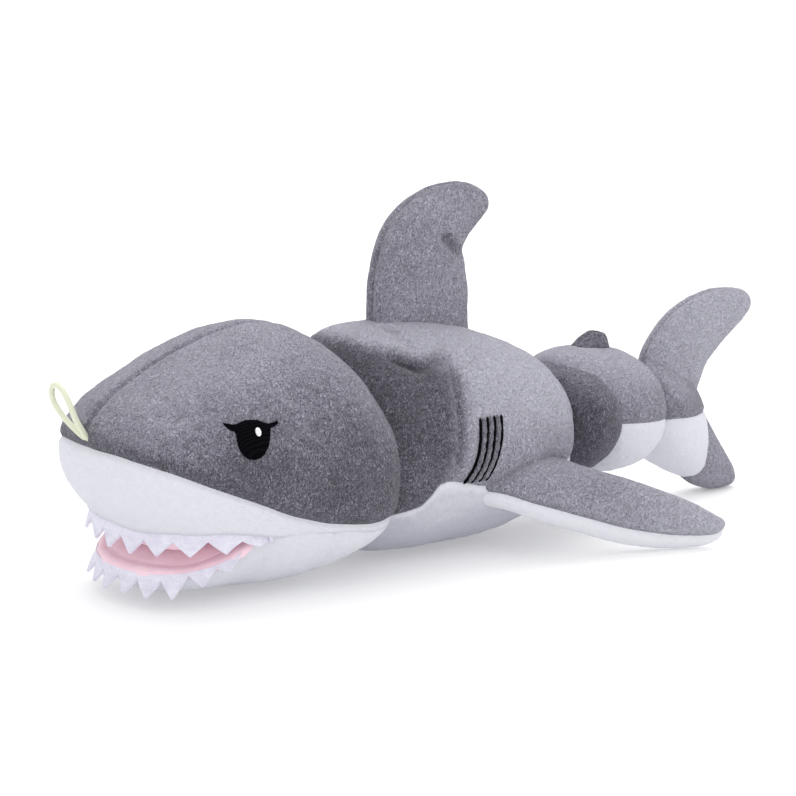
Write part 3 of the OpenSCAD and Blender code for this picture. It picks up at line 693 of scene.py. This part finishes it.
MOUTH_COLUMNS = 300
FOLD_S = 65.0
FOLD_Z = 29.0
CORNER_DEPTH = 2.5
on_lip = head_grid[-1]
front_columns = np.where(on_lip[:, 0] < CORNER_S)[0]
upper_lip = spaced(on_lip[front_columns][::-1], MOUTH_COLUMNS + 1)
if upper_lip[0, 1] > 0:
    upper_lip = upper_lip[::-1]
lip_stations = CHIN_START + (CORNER_S - CHIN_START) * np.linspace(1, 0, 240) ** 2
near_lip = np.stack([lip_stations, -chin_half(lip_stations - CHIN_START) * head_wide,
                     lower_lip(lip_stations)], axis=1)
far_lip = (near_lip * [1, -1, 1])[::-1]
lower_lip_line = spaced(np.concatenate([near_lip, far_lip[1:]]), MOUTH_COLUMNS + 1)


def outward_of(line):
    heading = np.gradient(line, axis=0) * [1, 1, 0]
    heading /= np.maximum(np.linalg.norm(heading, axis=1, keepdims=True), 1e-9)
    out = np.stack([heading[:, 1], -heading[:, 0], 0 * heading[:, 0]], axis=1)
    return out * np.sign(np.sum(out * (line - [50, 0, 30]) * [1, 1, 0], axis=1))[:, None]


def lining(name, lip, edge_steps, fade, bulge, facing, nodes, body=None, bend=None):
    """A mouth lining, from its rolled edge on the lip back to the fold where both linings meet."""
    out = outward_of(lip)
    run = along(lip)
    from_corner = np.minimum(run, run[-1] - run)
    rolled = ease(from_corner, 0, fade)[:, None]
    fold = np.stack([np.full(len(lip), FOLD_S), lip[:, 1] * 0.9, np.full(len(lip), FOLD_Z)], axis=1)
    edge = [lip + out * (step * rolled - CORNER_DEPTH * (1 - rolled)) + np.array([0, 0, rise]) * rolled
            for step, rise in edge_steps]
    depth = np.linspace(0, 1, 46)[1:, None, None]
    start = edge[-1]
    inside = start * (1 - depth) + fold * depth
    fullness = np.abs(start[:, 2] - FOLD_Z) / np.max(np.abs(start[:, 2] - FOLD_Z))
    inside[..., 2] += bulge * fullness * np.sin(np.pi * depth[..., 0]) ** 0.8
    grid = np.concatenate([edge, inside])
    normals = grid_normals(grid, np.array([40.0, 0, 30 + 40 * facing]), False)
    wavy = 0.5 * noise(grid, 9, 51) + 0.25 * noise(grid, 4, 52)
    grid = grid + normals * wavy[..., None]
    piece = fabric(name, grid, normals, mouth_lining, thickness=0.9)
    sewn(piece, nodes, body=body, bend=bend)


lining("mouth_roof", upper_lip, [(-2.9, -0.8), (-3.6, -3.6), (-5.2, -7.0), (-8.5, -9.0)], 45, 3.0, -1,
       ["palate_lining"], body="head")
lining("mouth_floor", lower_lip_line,
       [(0.5, -1.5), (0.8, -0.4), (0.4, 0.6), (-0.7, 1.2), (-2.2, 1.5), (-3.8, 1.6)], 14, 6.0, 1,
       ["jaw_lining"], bend=JAW_BEND)

FELT_THICKNESS = 1.3
TEETH = 11
COLUMNS_PER_TOOTH = 24


def tooth_strip(name, lip, node, root, direction, curl, pitch, band, reach, seed, body=None, bend=None):
    """A felt band with zigzag teeth, one at the front of the lip and as many on each side. Root and direction
    are (outwards, upwards) from the lip and along a tooth. Band and reach say how far the notches and the
    tips are from the lip, from the front of the mouth (0) to its corners (1)."""
    run = along(lip)
    centre = run[-1] / 2
    count = TEETH * COLUMNS_PER_TOOTH + 1
    at = centre + TEETH * pitch * np.linspace(-0.5, 0.5, count)
    line = np.stack([np.interp(at, run, lip[:, k]) for k in range(3)], axis=1)
    out = outward_of(line)
    step = np.arange(count) / COLUMNS_PER_TOOTH
    number = np.minimum(np.floor(step), TEETH - 1)
    point = 1 - np.abs(2 * (step - number) - 1)
    rng = np.random.default_rng(seed)
    vary = rng.uniform(0.94, 1.06, TEETH)[number.astype(int)]
    lean = rng.uniform(-0.6, 0.6, TEETH)[number.astype(int)]
    aside = np.abs(at - centre) / centre
    notch = smooth_curve(band)(aside)
    depth = notch + (smooth_curve(reach)(aside) - notch) * vary * point
    downwards = np.linspace(0, 1, 14)[:, None]
    drop = (downwards * depth[None, :])[..., None]
    flare = 1 + curl * downwards[..., None] ** 1.5
    move = out[None] * direction[0] * flare + np.array([0, 0, direction[1]])
    grid = line[None] + out[None] * root[0] + np.array([0, 0, root[1]]) + move * drop
    grid = grid + out[None] * (lean * point)[None, :, None] * downwards[..., None]
    grid += out[None] * (0.5 * noise(grid, 12, seed))[..., None] * downwards[..., None]
    grid[..., 2] = np.maximum(grid[..., 2], 0.3)
    normals = grid_normals(grid, np.array([50.0, 0, 30]), False)
    piece = fabric(name, grid + normals * 0.3, normals, tooth_felt, thickness=FELT_THICKNESS)
    sewn(piece, [node], body=body, bend=bend)


tooth_strip("upper_tooth_strip", upper_lip, "upper_teeth", (-1.4, -0.4), (0.10, -1.0), 1.0, 14.0,
            [(0, 4.2), (0.8, 3.8), (1, 2.5)],
            [(0, 10.5), (0.55, 9.8), (0.72, 9.4), (0.88, 6.6), (1, 4)], 72, body="head")
tooth_strip("lower_tooth_strip", lower_lip_line, "lower_teeth", (1.4, 0.2), (0.30, -0.95), 0.6, 10.6,
            [(0, 2), (0.33, 2.6), (0.48, 1.2), (0.75, 0.6), (1, 0.5)],
            [(0, 8.8), (0.27, 8.6), (0.41, 9.6), (0.55, 7), (0.7, 5), (0.85, 3.4), (1, 2)], 73,
            bend=JAW_BEND)

# ---------- eyes ----------

EYE_AT = (47.2, 68.4)
EYE_OUTLINE = [
    (1.0, 7.2), (3.2, 6.9), (5.4, 5.8), (7.4, 5.2), (9.4, 5.5), (11.2, 5.9), (11.4, 5.0), (9.6, 4.0),
    (7.6, 3.4), (7.2, 1.6), (6.4, -0.6), (5.2, -3.2), (3.4, -5.6), (1.2, -6.9), (-1.4, -7.3), (-3.6, -6.7),
    (-5.6, -5.2), (-6.9, -2.8), (-7.2, 0.2), (-6.9, 2.8), (-7.2, 3.8), (-8.4, 4.1), (-9.6, 5.2),
    (-10.6, 6.9), (-9.4, 6.6), (-7.6, 6.2), (-6.0, 6.1), (-4.2, 6.7), (-2.0, 7.3),
]
EYE_HEART = np.array([0.0, 3.2])
GLINT_FROM_EYE = (1.8, 2.6)
GLINT_HALF = (1.2, 1.6)


def head_patch(name, node, centre, outline, heart, side, lift, dome, rounded, material):
    """A raised embroidered patch that follows the head's side inside a closed outline. Its rows of points
    spread from its heart. Lift is its height over the skin, and its middle stands higher by dome."""
    outline = np.array(outline + outline[:1], float)
    run = along(outline)
    at = np.linspace(0, run[-1], 241)
    rim = np.stack([np.interp(at, run, outline[:, k]) for k in (0, 1)], axis=1)
    share = np.linspace(0, 1, 15)[:, None, None] ** 0.8
    flat = heart + (rim[None] - heart) * share
    s, z = centre[0] + flat[..., 0], centre[1] + flat[..., 1]
    y = side * head_side_y(s, z)
    grid = np.stack([s, y, z], axis=-1)
    e = 0.4
    slope_s = side * (head_side_y(s + e, z) - head_side_y(s - e, z)) / (2 * e)
    slope_z = side * (head_side_y(s, z + e) - head_side_y(s, z - e)) / (2 * e)
    normals = np.stack([-slope_s, np.ones_like(s), -slope_z], axis=-1) * side
    normals /= np.linalg.norm(normals, axis=-1, keepdims=True)
    puff = dome * (1 - share[..., 0] ** rounded) ** 0.5
    grid = grid + normals * (lift + puff + lumps(grid, 11) * 0.8)[..., None]
    piece = fabric(name, grid, normals, material, thickness=1.4, wraps=True)
    sewn(piece, [node], body="head")


glint_place = (EYE_AT[0] + GLINT_FROM_EYE[0], EYE_AT[1] + GLINT_FROM_EYE[1])
glint_outline = [(GLINT_HALF[0] * math.cos(t), GLINT_HALF[1] * math.sin(t))
                 for t in np.linspace(0, 2 * np.pi, 25)[:-1]]
for side_name, side in (("left", -1), ("right", 1)):
    head_patch(f"eye_patch_{side_name}", f"eye_{side_name}", EYE_AT, EYE_OUTLINE, EYE_HEART, side,
               0.55, 0.7, 7, black_thread)
    head_patch(f"eye_glint_patch_{side_name}", f"eye_glint_{side_name}", glint_place, glint_outline,
               np.zeros(2), side, 1.3, 0.5, 4, white_thread)

# ---------- body segments ----------

BODY_POWER = 2.2
BELLY_POWER = 2.0
SEAM_COLUMNS = (78, 52)
# A seam keeps this share of a ring's half away from its top and its bottom
SEAM_LIMIT = 0.12
MIDDLE_Z = 48.0


def ring_point(half, top, low, turn):
    middle, tall = (top + low) / 2, (top - low) / 2
    power = np.where(np.cos(turn) > 0, BODY_POWER, BELLY_POWER)
    y = half * np.sign(np.sin(turn)) * np.abs(np.sin(turn)) ** (2 / power)
    z = middle + tall * np.sign(np.cos(turn)) * np.abs(np.cos(turn)) ** (2 / power)
    return y, z


def station_curves(stations):
    """Curves of half width, top and bottom. A station is (distance from the nose, half width, top, low)."""
    s, *measures = zip(*stations)
    return [smooth_curve(list(zip(s, measure))) for measure in measures]


def segment(stations, seam_height, rows, slant=None):
    """A stuffed body segment: rings from its front end to its rear end, each from the top round the right
    side and back to the top, with a column on each seam between grey and white."""
    half_at, top_at, low_at = station_curves(stations)
    columns = SEAM_COLUMNS
    fine = np.linspace(stations[0][0], stations[-1][0], 1200)
    run = np.concatenate([[0], np.cumsum(np.hypot(np.diff(fine), np.diff(half_at(fine))))])
    at = np.interp(np.linspace(0, run[-1], rows), run, fine)
    turn = np.linspace(0, np.pi, 500)
    grid = []
    for station in at:
        y, z = ring_point(float(half_at(station)), float(top_at(station)), float(low_at(station)), turn)
        side = np.stack([np.full_like(y, station), y, z], axis=1)
        run = along(side)
        seam = np.interp(-float(seam_height(station)), -z, run)
        seam = min(max(seam, SEAM_LIMIT * run[-1]), (1 - SEAM_LIMIT) * run[-1])
        places = np.concatenate([np.linspace(0, seam, columns[0] + 1),
                                 np.linspace(seam, run[-1], columns[1] + 1)[1:]])
        right = np.stack([np.interp(places, run, side[:, k]) for k in range(3)], axis=1)
        left = (right * [1, -1, 1])[::-1]
        grid.append(np.concatenate([right, left[1:]]))
    grid = np.array(grid)
    if slant is not None:
        grid[..., 0] += slant(grid[..., 0]) * (grid[..., 2] - MIDDLE_Z)
    return grid


def seam_distance(grid):
    """Signed distance from the seam, positive on the grey side."""
    steps = np.linalg.norm(np.diff(grid, axis=1, prepend=grid[:, :1]), axis=-1)
    run = np.cumsum(steps, axis=1)
    right_seam = SEAM_COLUMNS[0]
    left_seam = grid.shape[1] - 1 - right_seam
    middle = grid.shape[1] // 2
    out = run[:, right_seam:right_seam + 1] - run
    out[:, middle:] = (run - run[:, left_seam:left_seam + 1])[:, middle:]
    return out


def gathers(grid, front, rear, reach, depth, seed):
    """Folds that run into a gathered end of a segment."""
    around = np.arctan2(grid[..., 1], grid[..., 2] - MIDDLE_Z)
    on_ring = np.stack([grid[..., 0] / 30, 9 * np.cos(around), 9 * np.sin(around)], axis=-1)
    fold = noise(on_ring, 1.6, seed) + 0.5 * noise(on_ring, 0.8, seed + 1)
    near = (1 - ease(grid[..., 0], front, front + reach)) if front is not None else 0
    near = near + (ease(grid[..., 0], rear - reach, rear) if rear is not None else 0)
    return depth * fold * near


def segment_panels(grid, skin_out, shade, underside_shade, centre, names, nodes, body=None, bend=None, fill=0.8):
    """Sews a segment's grey panel and white panel along the seam between them. The white panel gets painted
    shade where it faces down.
    """
    skin = grid + grid_normals(grid, centre, True) * skin_out[..., None]
    skin[..., 2] = np.maximum(skin[..., 2], CLEAR_OF_FLOOR)
    normals = grid_normals(skin, centre, True)
    right_seam = SEAM_COLUMNS[0]
    left_seam = grid.shape[1] - 1 - right_seam
    over = [np.concatenate([part[:, left_seam:-1], part[:, :right_seam + 1]], axis=1)
            for part in (skin, normals, shade)]
    top = fabric(names[0], over[0], over[1], grey_plush, shade=over[2])
    sewn(top, nodes[0], body=body, bend=bend)
    under = slice(right_seam, left_seam + 1)
    # Painted shade on the white underside, stronger where it faces down
    bottom = fabric(names[1], skin[:, under], normals[:, under], white_plush,
                    shade=underside_shade * ease(-normals[:, under, 2], -0.1, 0.8))
    sewn(bottom, nodes[1], body=body, bend=bend)


TORSO = [
    (104, 1, 51, 49), (106, 20, 76, 30), (110, 33, 88, 15), (115, 38, 94, 9), (121, 41.5, 97.5, 5),
    (128, 44.5, 98.7, 3), (140, 46.5, 99.4, 2), (152, 47, 99.2, 1.5), (170, 47, 97, 1.5),
    (186, 46.4, 91.8, 2.5), (200, 44, 86.4, 5.5), (208, 41.8, 82.6, 8), (214, 38.5, 78.8, 11),
    (220, 33, 74, 15), (225, 26, 68.5, 21), (229, 17, 61.5, 31), (232, 1, 51, 49),
]
torso_seam = smooth_curve([(100, 23), (118, 23), (124, 25), (133, 27.5), (137, 32), (140, 36.5), (144, 37.5),
                           (152, 36), (165, 33), (190, 33), (215, 36), (236, 40)])
torso_stations = [(s, half * torso_wide, top, low) for s, half, top, low in TORSO]
torso_grid = segment(torso_stations, torso_seam, 190)
TORSO_CENTRE = np.array([170.0, 0, 48])
# The soft folds behind the shoulder and the dimple that two creases make under the dorsal fin's front
SHOULDER_FOLD = [(149.8, -31.3, 87.8), (152.0, -36.8, 81.8), (151.6, -42, 73), (150.4, -45.2, 63.5),
                 (149.4, -46.6, 53.5), (147.4, -46.8, 43.3), (143.4, -46.4, 37.4)]
SHOULDER_ROLL = [(144, -36, 81), (144, -42, 72), (143, -45, 62), (142, -46, 52), (140, -46, 44)]
SECOND_FOLD = [(156, -36, 82), (156, -43, 70), (154.5, -46, 57), (152.8, -46.8, 46)]
DIMPLE = [(124, -21, 91.5), (130.4, -28, 88.5), (137, -33.5, 86), (142.5, -32.5, 87), (149.3, -31.3, 87.8),
          (155.2, -30.3, 88.8)]
FIN_PULL = [(136, -6, 98), (138, -14, 97), (139, -24, 92), (140, -31, 87)]


def crease(line, depth, width):
    """A crease in the torso along a line and its mirror image, shallower towards its ends."""
    total = np.zeros(torso_grid.shape[:-1])
    for side in (1, -1):
        far, share = line_distance(torso_grid, np.array(line) * [1, side, 1])
        fade = ease(share, 0, 0.2) * (1 - ease(share, 0.8, 1.0)) + 0.15
        total += groove(far, depth, width) * fade
    return total


def torso_surface():
    """How far the fabric stands off the torso's grid, and its painted light and shade, together with the step
    in the pile's nap behind the shoulder.
    """
    out = lumps(torso_grid, 91) + groove(seam_distance(torso_grid), 0.8, 1.3)
    out += gathers(torso_grid, 104, 232, 16, 0.9, 95)
    folds = crease(SHOULDER_FOLD, 3.2, 2.6) + crease(SECOND_FOLD, 0.7, 1.8)
    folds += crease(DIMPLE, 4.6, 3.6) + crease(FIN_PULL, 1.6, 3.0)
    out = out + folds + crease(SHOULDER_ROLL, -1.3, 5.0)
    fold_place = smooth_curve([(36, 142.5), (53, 149), (73, 151.5), (88, 151), (99, 146)])
    behind = ease(torso_grid[..., 0] - fold_place(torso_grid[..., 2]), -9, 7)
    shoulder = (1 - behind) * (1 - ease(torso_grid[..., 2] + 0.3 * (torso_grid[..., 0] - 135), 84, 93))
    # Painted light on the back, lighter higher up, and painted shade in the creases; the darker shoulder is
    # painted shade and nap together
    back_nap_and_painted_light = BACK_NAP_AND_LIGHT + 0.31 * ease(torso_grid[..., 2], 34, 74)
    shade = SHOULDER_NAP_AND_SHADE * shoulder + back_nap_and_painted_light * (1 - shoulder) + 0.08 * folds
    return out, shade


segment_panels(torso_grid, *torso_surface(), -0.50, TORSO_CENTRE, ["back", "belly"],
               [["back_panel", "torso_stuffing"], ["belly_panel"]], body="torso", fill=0.9)

# ---------- tail ----------

RING = [(222, 1, 51, 49), (224, 20, 64, 34), (229, 32, 71, 25), (236, 36, 73.5, 22), (243, 35.2, 73, 24.5),
        (249, 31.5, 70, 28.5), (254, 25.5, 64, 33.5), (258, 16, 57, 39), (260, 1, 51, 49)]
ring_slant = smooth_curve([(222, 0), (232, 0), (246, -0.12), (260, -0.2)])
RING_CENTRE = np.array([241.0, 0, 48])


def tail_ring():
    """The gathered ring, grey all round. Its seam height only sets how its points are spread."""
    grid = segment(RING, lambda s: 10, 66, slant=ring_slant)
    out = lumps(grid, 131) + gathers(grid, 222, 260, 12, 0.9, 135)
    skin = grid + grid_normals(grid, RING_CENTRE, True) * out[..., None]
    # Painted shade on the ring in the hollow between segments, lighter towards the top
    shade = -0.25 + 0.24 * ease(grid[..., 2], 50, 72)
    normals = grid_normals(skin, RING_CENTRE, True)
    piece = fabric("tail_ring", skin, normals, grey_plush, wraps=True, shade=shade)
    sewn(piece, ["tail_ring_panel", "tail_ring_stuffing"],
         bend=("torso", "tail_ring", (225, 0, 46), (240, 0, 46)))


tail_ring()


def tail_segment(stations, seam, rows, slant, seed, gathered, light_by_height, underside_shade, centre, names, nodes, bend):
    """A tail segment. Gathered is (front end, rear end, reach, depth), and light_by_height is (low, rise,
    from, to): painted light that grows lighter higher up.
    """
    grid = segment(stations, seam, rows, slant=slant)
    out = lumps(grid, seed) + groove(seam_distance(grid), 0.7, 1.2) + gathers(grid, *gathered, seed + 4)
    # Painted light on the tail, lighter higher up
    low_tone, rise, low_z, high_z = light_by_height
    shade = low_tone + rise * ease(grid[..., 2], low_z, high_z)
    segment_panels(grid, out, shade, underside_shade, np.array(centre), names, nodes, bend=bend)


TAIL = [(233, 1, 56, 48), (235, 15, 68, 36), (239, 24, 74.5, 28), (245, 28.5, 76.8, 23),
        (252, 31, 77.6, 20.5), (259, 31.4, 77.4, 19.5), (267, 30, 76, 19.5), (275, 27.4, 73, 20.5),
        (282, 23, 68.5, 23.5), (287, 17.5, 62.5, 28), (290.5, 10, 56, 35), (292, 1, 48, 43)]
tail_slant = smooth_curve([(233, -0.22), (246, -0.18), (262, -0.05), (275, 0), (292, 0)])
tail_seam = smooth_curve([(230, 46), (250, 46.5), (270, 45), (292, 43.5)])
tail_segment(TAIL, tail_seam, 84, tail_slant, 151, (233, 292, 12, 0.8), (0.11, 0.31, 50, 76), -0.15,
             (262.0, 0, 47), ["tail_back", "tail_belly"],
             [["tail_back_panel", "tail_stuffing"], ["tail_belly_panel"]],
             ("tail_ring", "tail", (246, 0, 48), (258, 0, 48)))

BASE = [(279, 1, 47, 43), (281, 11, 57, 35), (285, 17.5, 62.5, 27), (290, 20.8, 65.5, 22), (296, 22, 66, 17),
        (303, 20.8, 64, 12.5), (309, 18, 61, 9.5), (315, 14, 57.5, 8.5), (320, 9, 54, 11), (324, 5, 48, 17),
        (326, 1, 38, 30)]
base_seam = smooth_curve([(279, 41.5), (292, 42.5), (310, 42), (326, 40)])
base_slant = smooth_curve([(279, 0), (292, -0.08), (310, -0.16), (326, -0.16)])
TAIL_END_BEND = ("tail", "tail_end", (284, 0, 45), (296, 0, 45))
tail_segment(BASE, base_seam, 70, base_slant, 171, (279, None, 9, 0.7), (0.08, 0.24, 44, 64), -0.10,
             (300.0, 0, 42), ["tail_base", "tail_base_patch"],
             [["tail_base_panel", "tail_base_stuffing"], ["tail_base_belly"]], TAIL_END_BEND)

# ---------- fins ----------

FIN_ROWS = 84
FIN_COLUMNS = 40


def through(points, count):
    """A smooth line through points, evenly spaced."""
    points = np.array(points, float)
    run = along(points)
    curves = [smooth_curve(list(zip(run, points[:, k]))) for k in range(3)]
    at = np.linspace(0, run[-1], count)
    return np.stack([c(at) for c in curves], axis=1)


def fin_surface(front, rear, thickness, normal, seed, under=1.0, roundness=0.85):
    """A flat stuffed pocket between a front edge and a rear edge that meet at the tip. Its second side is
    fuller than its first by the share under."""
    front, rear = through(front, FIN_ROWS), through(rear, FIN_ROWS)
    share = np.linspace(0, 1, FIN_ROWS)
    half = smooth_curve(thickness)(share) * np.sqrt(np.maximum(1 - share ** 6, 0))
    turn = np.linspace(0, 2 * np.pi, 2 * FIN_COLUMNS + 1)
    middle = (front + rear) / 2
    chord = (front - rear) / 2
    normal = np.array(normal, float) / np.linalg.norm(normal)
    pillow = np.sign(np.sin(turn)) * np.abs(np.sin(turn)) ** roundness
    pillow = np.where(pillow < 0, under * pillow, pillow)
    grid = (middle[:, None] + chord[:, None] * np.cos(turn)[None, :, None]
            + normal * (half[:, None] * pillow[None])[..., None])
    normals = grid_normals(grid, grid.mean(axis=(0, 1)), True)
    if np.sum(normals * (grid - middle[:, None])) < 0:
        normals = -normals
    edge = np.linalg.norm(chord, axis=1)[:, None] * (1 - np.abs(np.cos(turn)[None]))
    across = np.abs(half[:, None] * pillow[None])
    near_seam = np.hypot(edge, across * 0.9)
    out = 0.6 * lumps(grid, seed) + groove(near_seam, 1.2, 1.3)
    return grid, normals, out, share


# Painted shade in seams, folds and dips: how much darker the pile is drawn for a millimetre of depth
SEAM_PAINTED_SHADE = 0.12


def fin(prefix, grid, normals, out, sides, shade, bend, folds=None):
    """Sews a fin from two fabric sides. Sides says each side's name, material and CAD nodes."""
    if folds is not None:
        out = out + folds(grid)
    skin = grid + normals * out[..., None]
    skin[..., 2] = np.maximum(skin[..., 2], CLEAR_OF_FLOOR)
    skin_normals = grid_normals(skin, skin.mean(axis=(0, 1)), True)
    if np.sum(skin_normals * normals) < 0:
        skin_normals = -skin_normals
    for (name, material, nodes), columns in zip(
            sides, (slice(0, FIN_COLUMNS + 1), slice(FIN_COLUMNS, 2 * FIN_COLUMNS + 1))):
        # Painted shade in the seam groove, the folds and the dips of the stuffing
        tone = shade + np.clip(SEAM_PAINTED_SHADE * out[:, columns], -0.2, 0)
        piece = fabric(f"{prefix}_{name}_side", skin[:, columns], skin_normals[:, columns], material,
                       thickness=1.0, shade=tone)
        sewn(piece, nodes, bend=bend)


def upright_fin(prefix, nodes, front, rear, thickness, seed, bend, shade, folds=None, roundness=0.85):
    front, rear = ([(s, 0, z) for s, z in edge] for edge in (front, rear))
    grid, normals, out, _ = fin_surface(front, rear, thickness, (0, 1, 0), seed, roundness=roundness)
    sides = [("right", grey_plush, [f"{nodes}_right", f"{nodes}_stuffing"]),
             ("left", grey_plush, [f"{nodes}_left"])]
    fin(prefix, grid, normals, out, sides, shade, bend, folds)


def dorsal_folds(grid):
    far, _ = line_distance(grid, [(184, -6, 127), (179, -9.5, 126), (173, -9.5, 129), (168, -9.5, 133)])
    other, _ = line_distance(grid, [(184, 7, 128), (177, 9, 129)])
    return groove(far, 3.0, 2.2) + groove(other, 2.0, 2.2)


upright_fin("dorsal", "dorsal_fin",
            [(136, 90), (135.2, 101), (135.5, 113), (137.5, 124), (141, 133.5), (149, 144), (159, 151),
             (170, 155), (181, 156), (190, 153.5), (195.5, 150), (197.5, 146)],
            [(186, 86), (184.5, 97), (184, 109), (182.3, 119), (181.5, 126), (184, 131.5), (188.5, 135.5),
             (193, 139), (196.5, 142.5), (197.5, 146)],
            [(0, 10), (0.3, 10.5), (0.6, 9.5), (0.8, 7.5), (1, 4.5)], 201,
            ("torso", "dorsal_fin", (160, 0, 95), (160, 0, 105)), 0.20, dorsal_folds, roundness=0.65)
upright_fin("rear", "rear_fin",
            [(250.5, 71), (248.5, 74.5), (247, 77.5), (249.5, 79.8), (253.5, 82.2), (258, 84), (261.5, 83.8)],
            [(268, 70), (267.3, 75.5), (266, 79), (264.5, 82), (261.5, 83.8)],
            [(0, 6.5), (0.5, 6), (1, 3.5)], 221,
            ("tail", "rear_fin", (258, 0, 76), (258, 0, 82)), -0.08)
upright_fin("upper_lobe", "upper_lobe",
            [(286, 58), (289, 70), (294, 77.5), (302, 85.5), (311, 91), (322, 95), (336, 97), (347, 96.5),
             (354, 93.5), (357, 89)],
            [(320.5, 46), (323, 54), (326.8, 62), (334, 69), (342.5, 75.5), (350.5, 81), (355.3, 85.2),
             (357, 89)],
            [(0, 9), (0.35, 9.5), (0.7, 8.5), (1, 5)], 241, TAIL_END_BEND, 0.46)
upright_fin("lower_lobe", "lower_lobe",
            [(320, 48), (326, 39), (333, 29), (340, 19), (346, 10.5), (348.5, 5), (348, 2)],
            [(310, 16), (316, 8), (324, 3), (332, 1), (340, 0.6), (345, 0.8), (348, 2)],
            [(0, 9), (0.4, 9), (0.75, 7.5), (1, 4)], 261, TAIL_END_BEND, 0.24)

SIDE_FRONT = [(160, -38, 31), (168, -47, 29.5), (180, -54, 25), (200, -62, 18), (222, -70.5, 10.8),
              (243, -78, 6.6), (255, -81.5, 5.8), (261, -82.5, 6.4), (264, -81.5, 8.4)]
SIDE_REAR = [(206, -34, 37), (209, -43, 35), (216, -50, 31.5), (228, -58, 27), (241, -66, 21.5),
             (252, -73, 16.5), (260, -78, 12), (263.5, -80.5, 10), (264, -81.5, 8.4)]
SIDE_THICKNESS = [(0, 8), (0.35, 9), (0.7, 8.5), (1, 7)]
SIDE_NORMAL = (0.10, -0.42, 0.90)


def side_fin(node, side):
    mirrored = np.array([1, side, 1])
    grid, normals, out, share = fin_surface(SIDE_FRONT * mirrored, SIDE_REAR * mirrored, SIDE_THICKNESS,
                                            SIDE_NORMAL * mirrored, 281, under=1.55)
    shade = 0.26 + 0.24 * ease(share, 0.35, 1)[:, None]
    sides = [("upper", grey_plush, [f"{node}_top", f"{node}_stuffing"]),
             ("lower", white_plush, [f"{node}_underside"])]
    fin(node, grid, normals, out, sides, shade, ("torso", node, (180, -44 * side, 30), (180, -54 * side, 30)))


side_fin("side_fin_left", 1)
side_fin("side_fin_right", -1)

# ---------- gills ----------

GILL_COUNT = 4
GILL_PITCH = 3.75
GILL_LINE = [(158.8, 63), (158.3, 56), (157.5, 50), (155.6, 44), (153, 39), (151, 36)]


def torso_side_y(s, z):
    half_at, top_at, low_at = station_curves(torso_stations)
    return section_side(half_at(s), top_at(s), low_at(s), z, BODY_POWER, BELLY_POWER)


def gill_line(offset, side, lift):
    line = through([(s, 0, z) for s, z in GILL_LINE], 90)
    s, z = line[:, 0] + offset, line[:, 2]
    on_skin = np.stack([s, side * torso_side_y(s, z), z], axis=1)
    bumps = lumps(on_skin, 91)
    return on_skin + np.array([0, side, 0]) * (lift + bumps)[:, None]


def gill_tube(name, offset, side, lift, radius, waves, taper, sides, material, nodes):
    """A thread or a ridge of pile: a tube whose radius waves along it and which narrows at its ends. Taper is
    (points it takes, narrowest share)."""
    line = gill_line(offset, side, lift)
    from_end = np.minimum(np.arange(len(line)), np.arange(len(line))[::-1])
    ends = np.sqrt(np.clip(from_end / taper[0], taper[1], 1))
    radii = (radius + waves(np.linspace(0, np.pi, len(line)))) * ends
    sewn(tube(name, line, radii, material, sides), nodes, body="torso")


for side_name, side in (("left", -1), ("right", 1)):
    for k in range(GILL_COUNT):
        gill_tube(f"gill_thread_{side_name}_{k + 1}", k * GILL_PITCH, side, 0.45, 0.55,
                  lambda turn: 0.07 * np.abs(np.sin(16 * turn)), (3, 0.1), 10, black_thread,
                  [f"gill_stitches_{side_name}"])
    for k in range(GILL_COUNT - 1):
        gill_tube(f"gill_ridge_{side_name}_{k + 1}", (k + 0.5) * GILL_PITCH, side, 0.25, 1.2,
                  lambda turn: 0.12 * np.sin(14 * turn), (8, 0.05), 14, grey_plush, [])

# ---------- squeaker, kept from the CAD ----------

for node in ("squeaker_base", "squeaker_reed", "squeaker_dome"):
    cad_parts[node].data.materials.clear()
    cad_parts[node].data.materials.append(squeaker_plastic)

# ---------- stage and light ----------

FLOOR_HALF = 40.0


def stage():
    mesh = bpy.data.meshes.new("floor")
    corners = [(x * FLOOR_HALF, y * FLOOR_HALF, 0) for x, y in ((-1, -1), (1, -1), (1, 1), (-1, 1))]
    mesh.from_pydata(corners, [], [(0, 1, 2, 3)])
    mesh.materials.append(pale_stage("floor"))
    floor = show(bpy.data.objects.new("floor", mesh))


def add_light(name, kind, energy, towards):
    """A light that shines from a direction, which is what towards holds. The caller gives it a place."""
    data = bpy.data.lights.new(name, kind)
    data.energy = energy
    light = show(bpy.data.objects.new(name, data))
    light.rotation_euler = Vector(towards).to_track_quat("Z", "Y").to_euler()
    return light, data


def area_light(name, location, target, size, power):
    light, data = add_light(name, "AREA", power, Vector(location) - Vector(target))
    data.shape = "DISK"
    data.size = size
    light.location = location


stage()
_, overhead = add_light("overhead", "SUN", 1.0, (0.35, 0.3, 1))
overhead.angle = math.radians(55)
area_light("key", (-0.5, -0.9, 1.5), (0, 0, 0.05), 1.4, 3)
area_light("rear_key", (1.0, 0.5, 1.3), (0.1, 0, 0.08), 0.9, 4)
world = bpy.data.worlds.new("studio")
world.use_nodes = True
world.node_tree.nodes["Background"].inputs["Color"].default_value = (1, 1, 1, 1)
world.node_tree.nodes["Background"].inputs["Strength"].default_value = 1.0
bpy.context.scene.world = world
bpy.context.scene.view_settings.view_transform = "Standard"
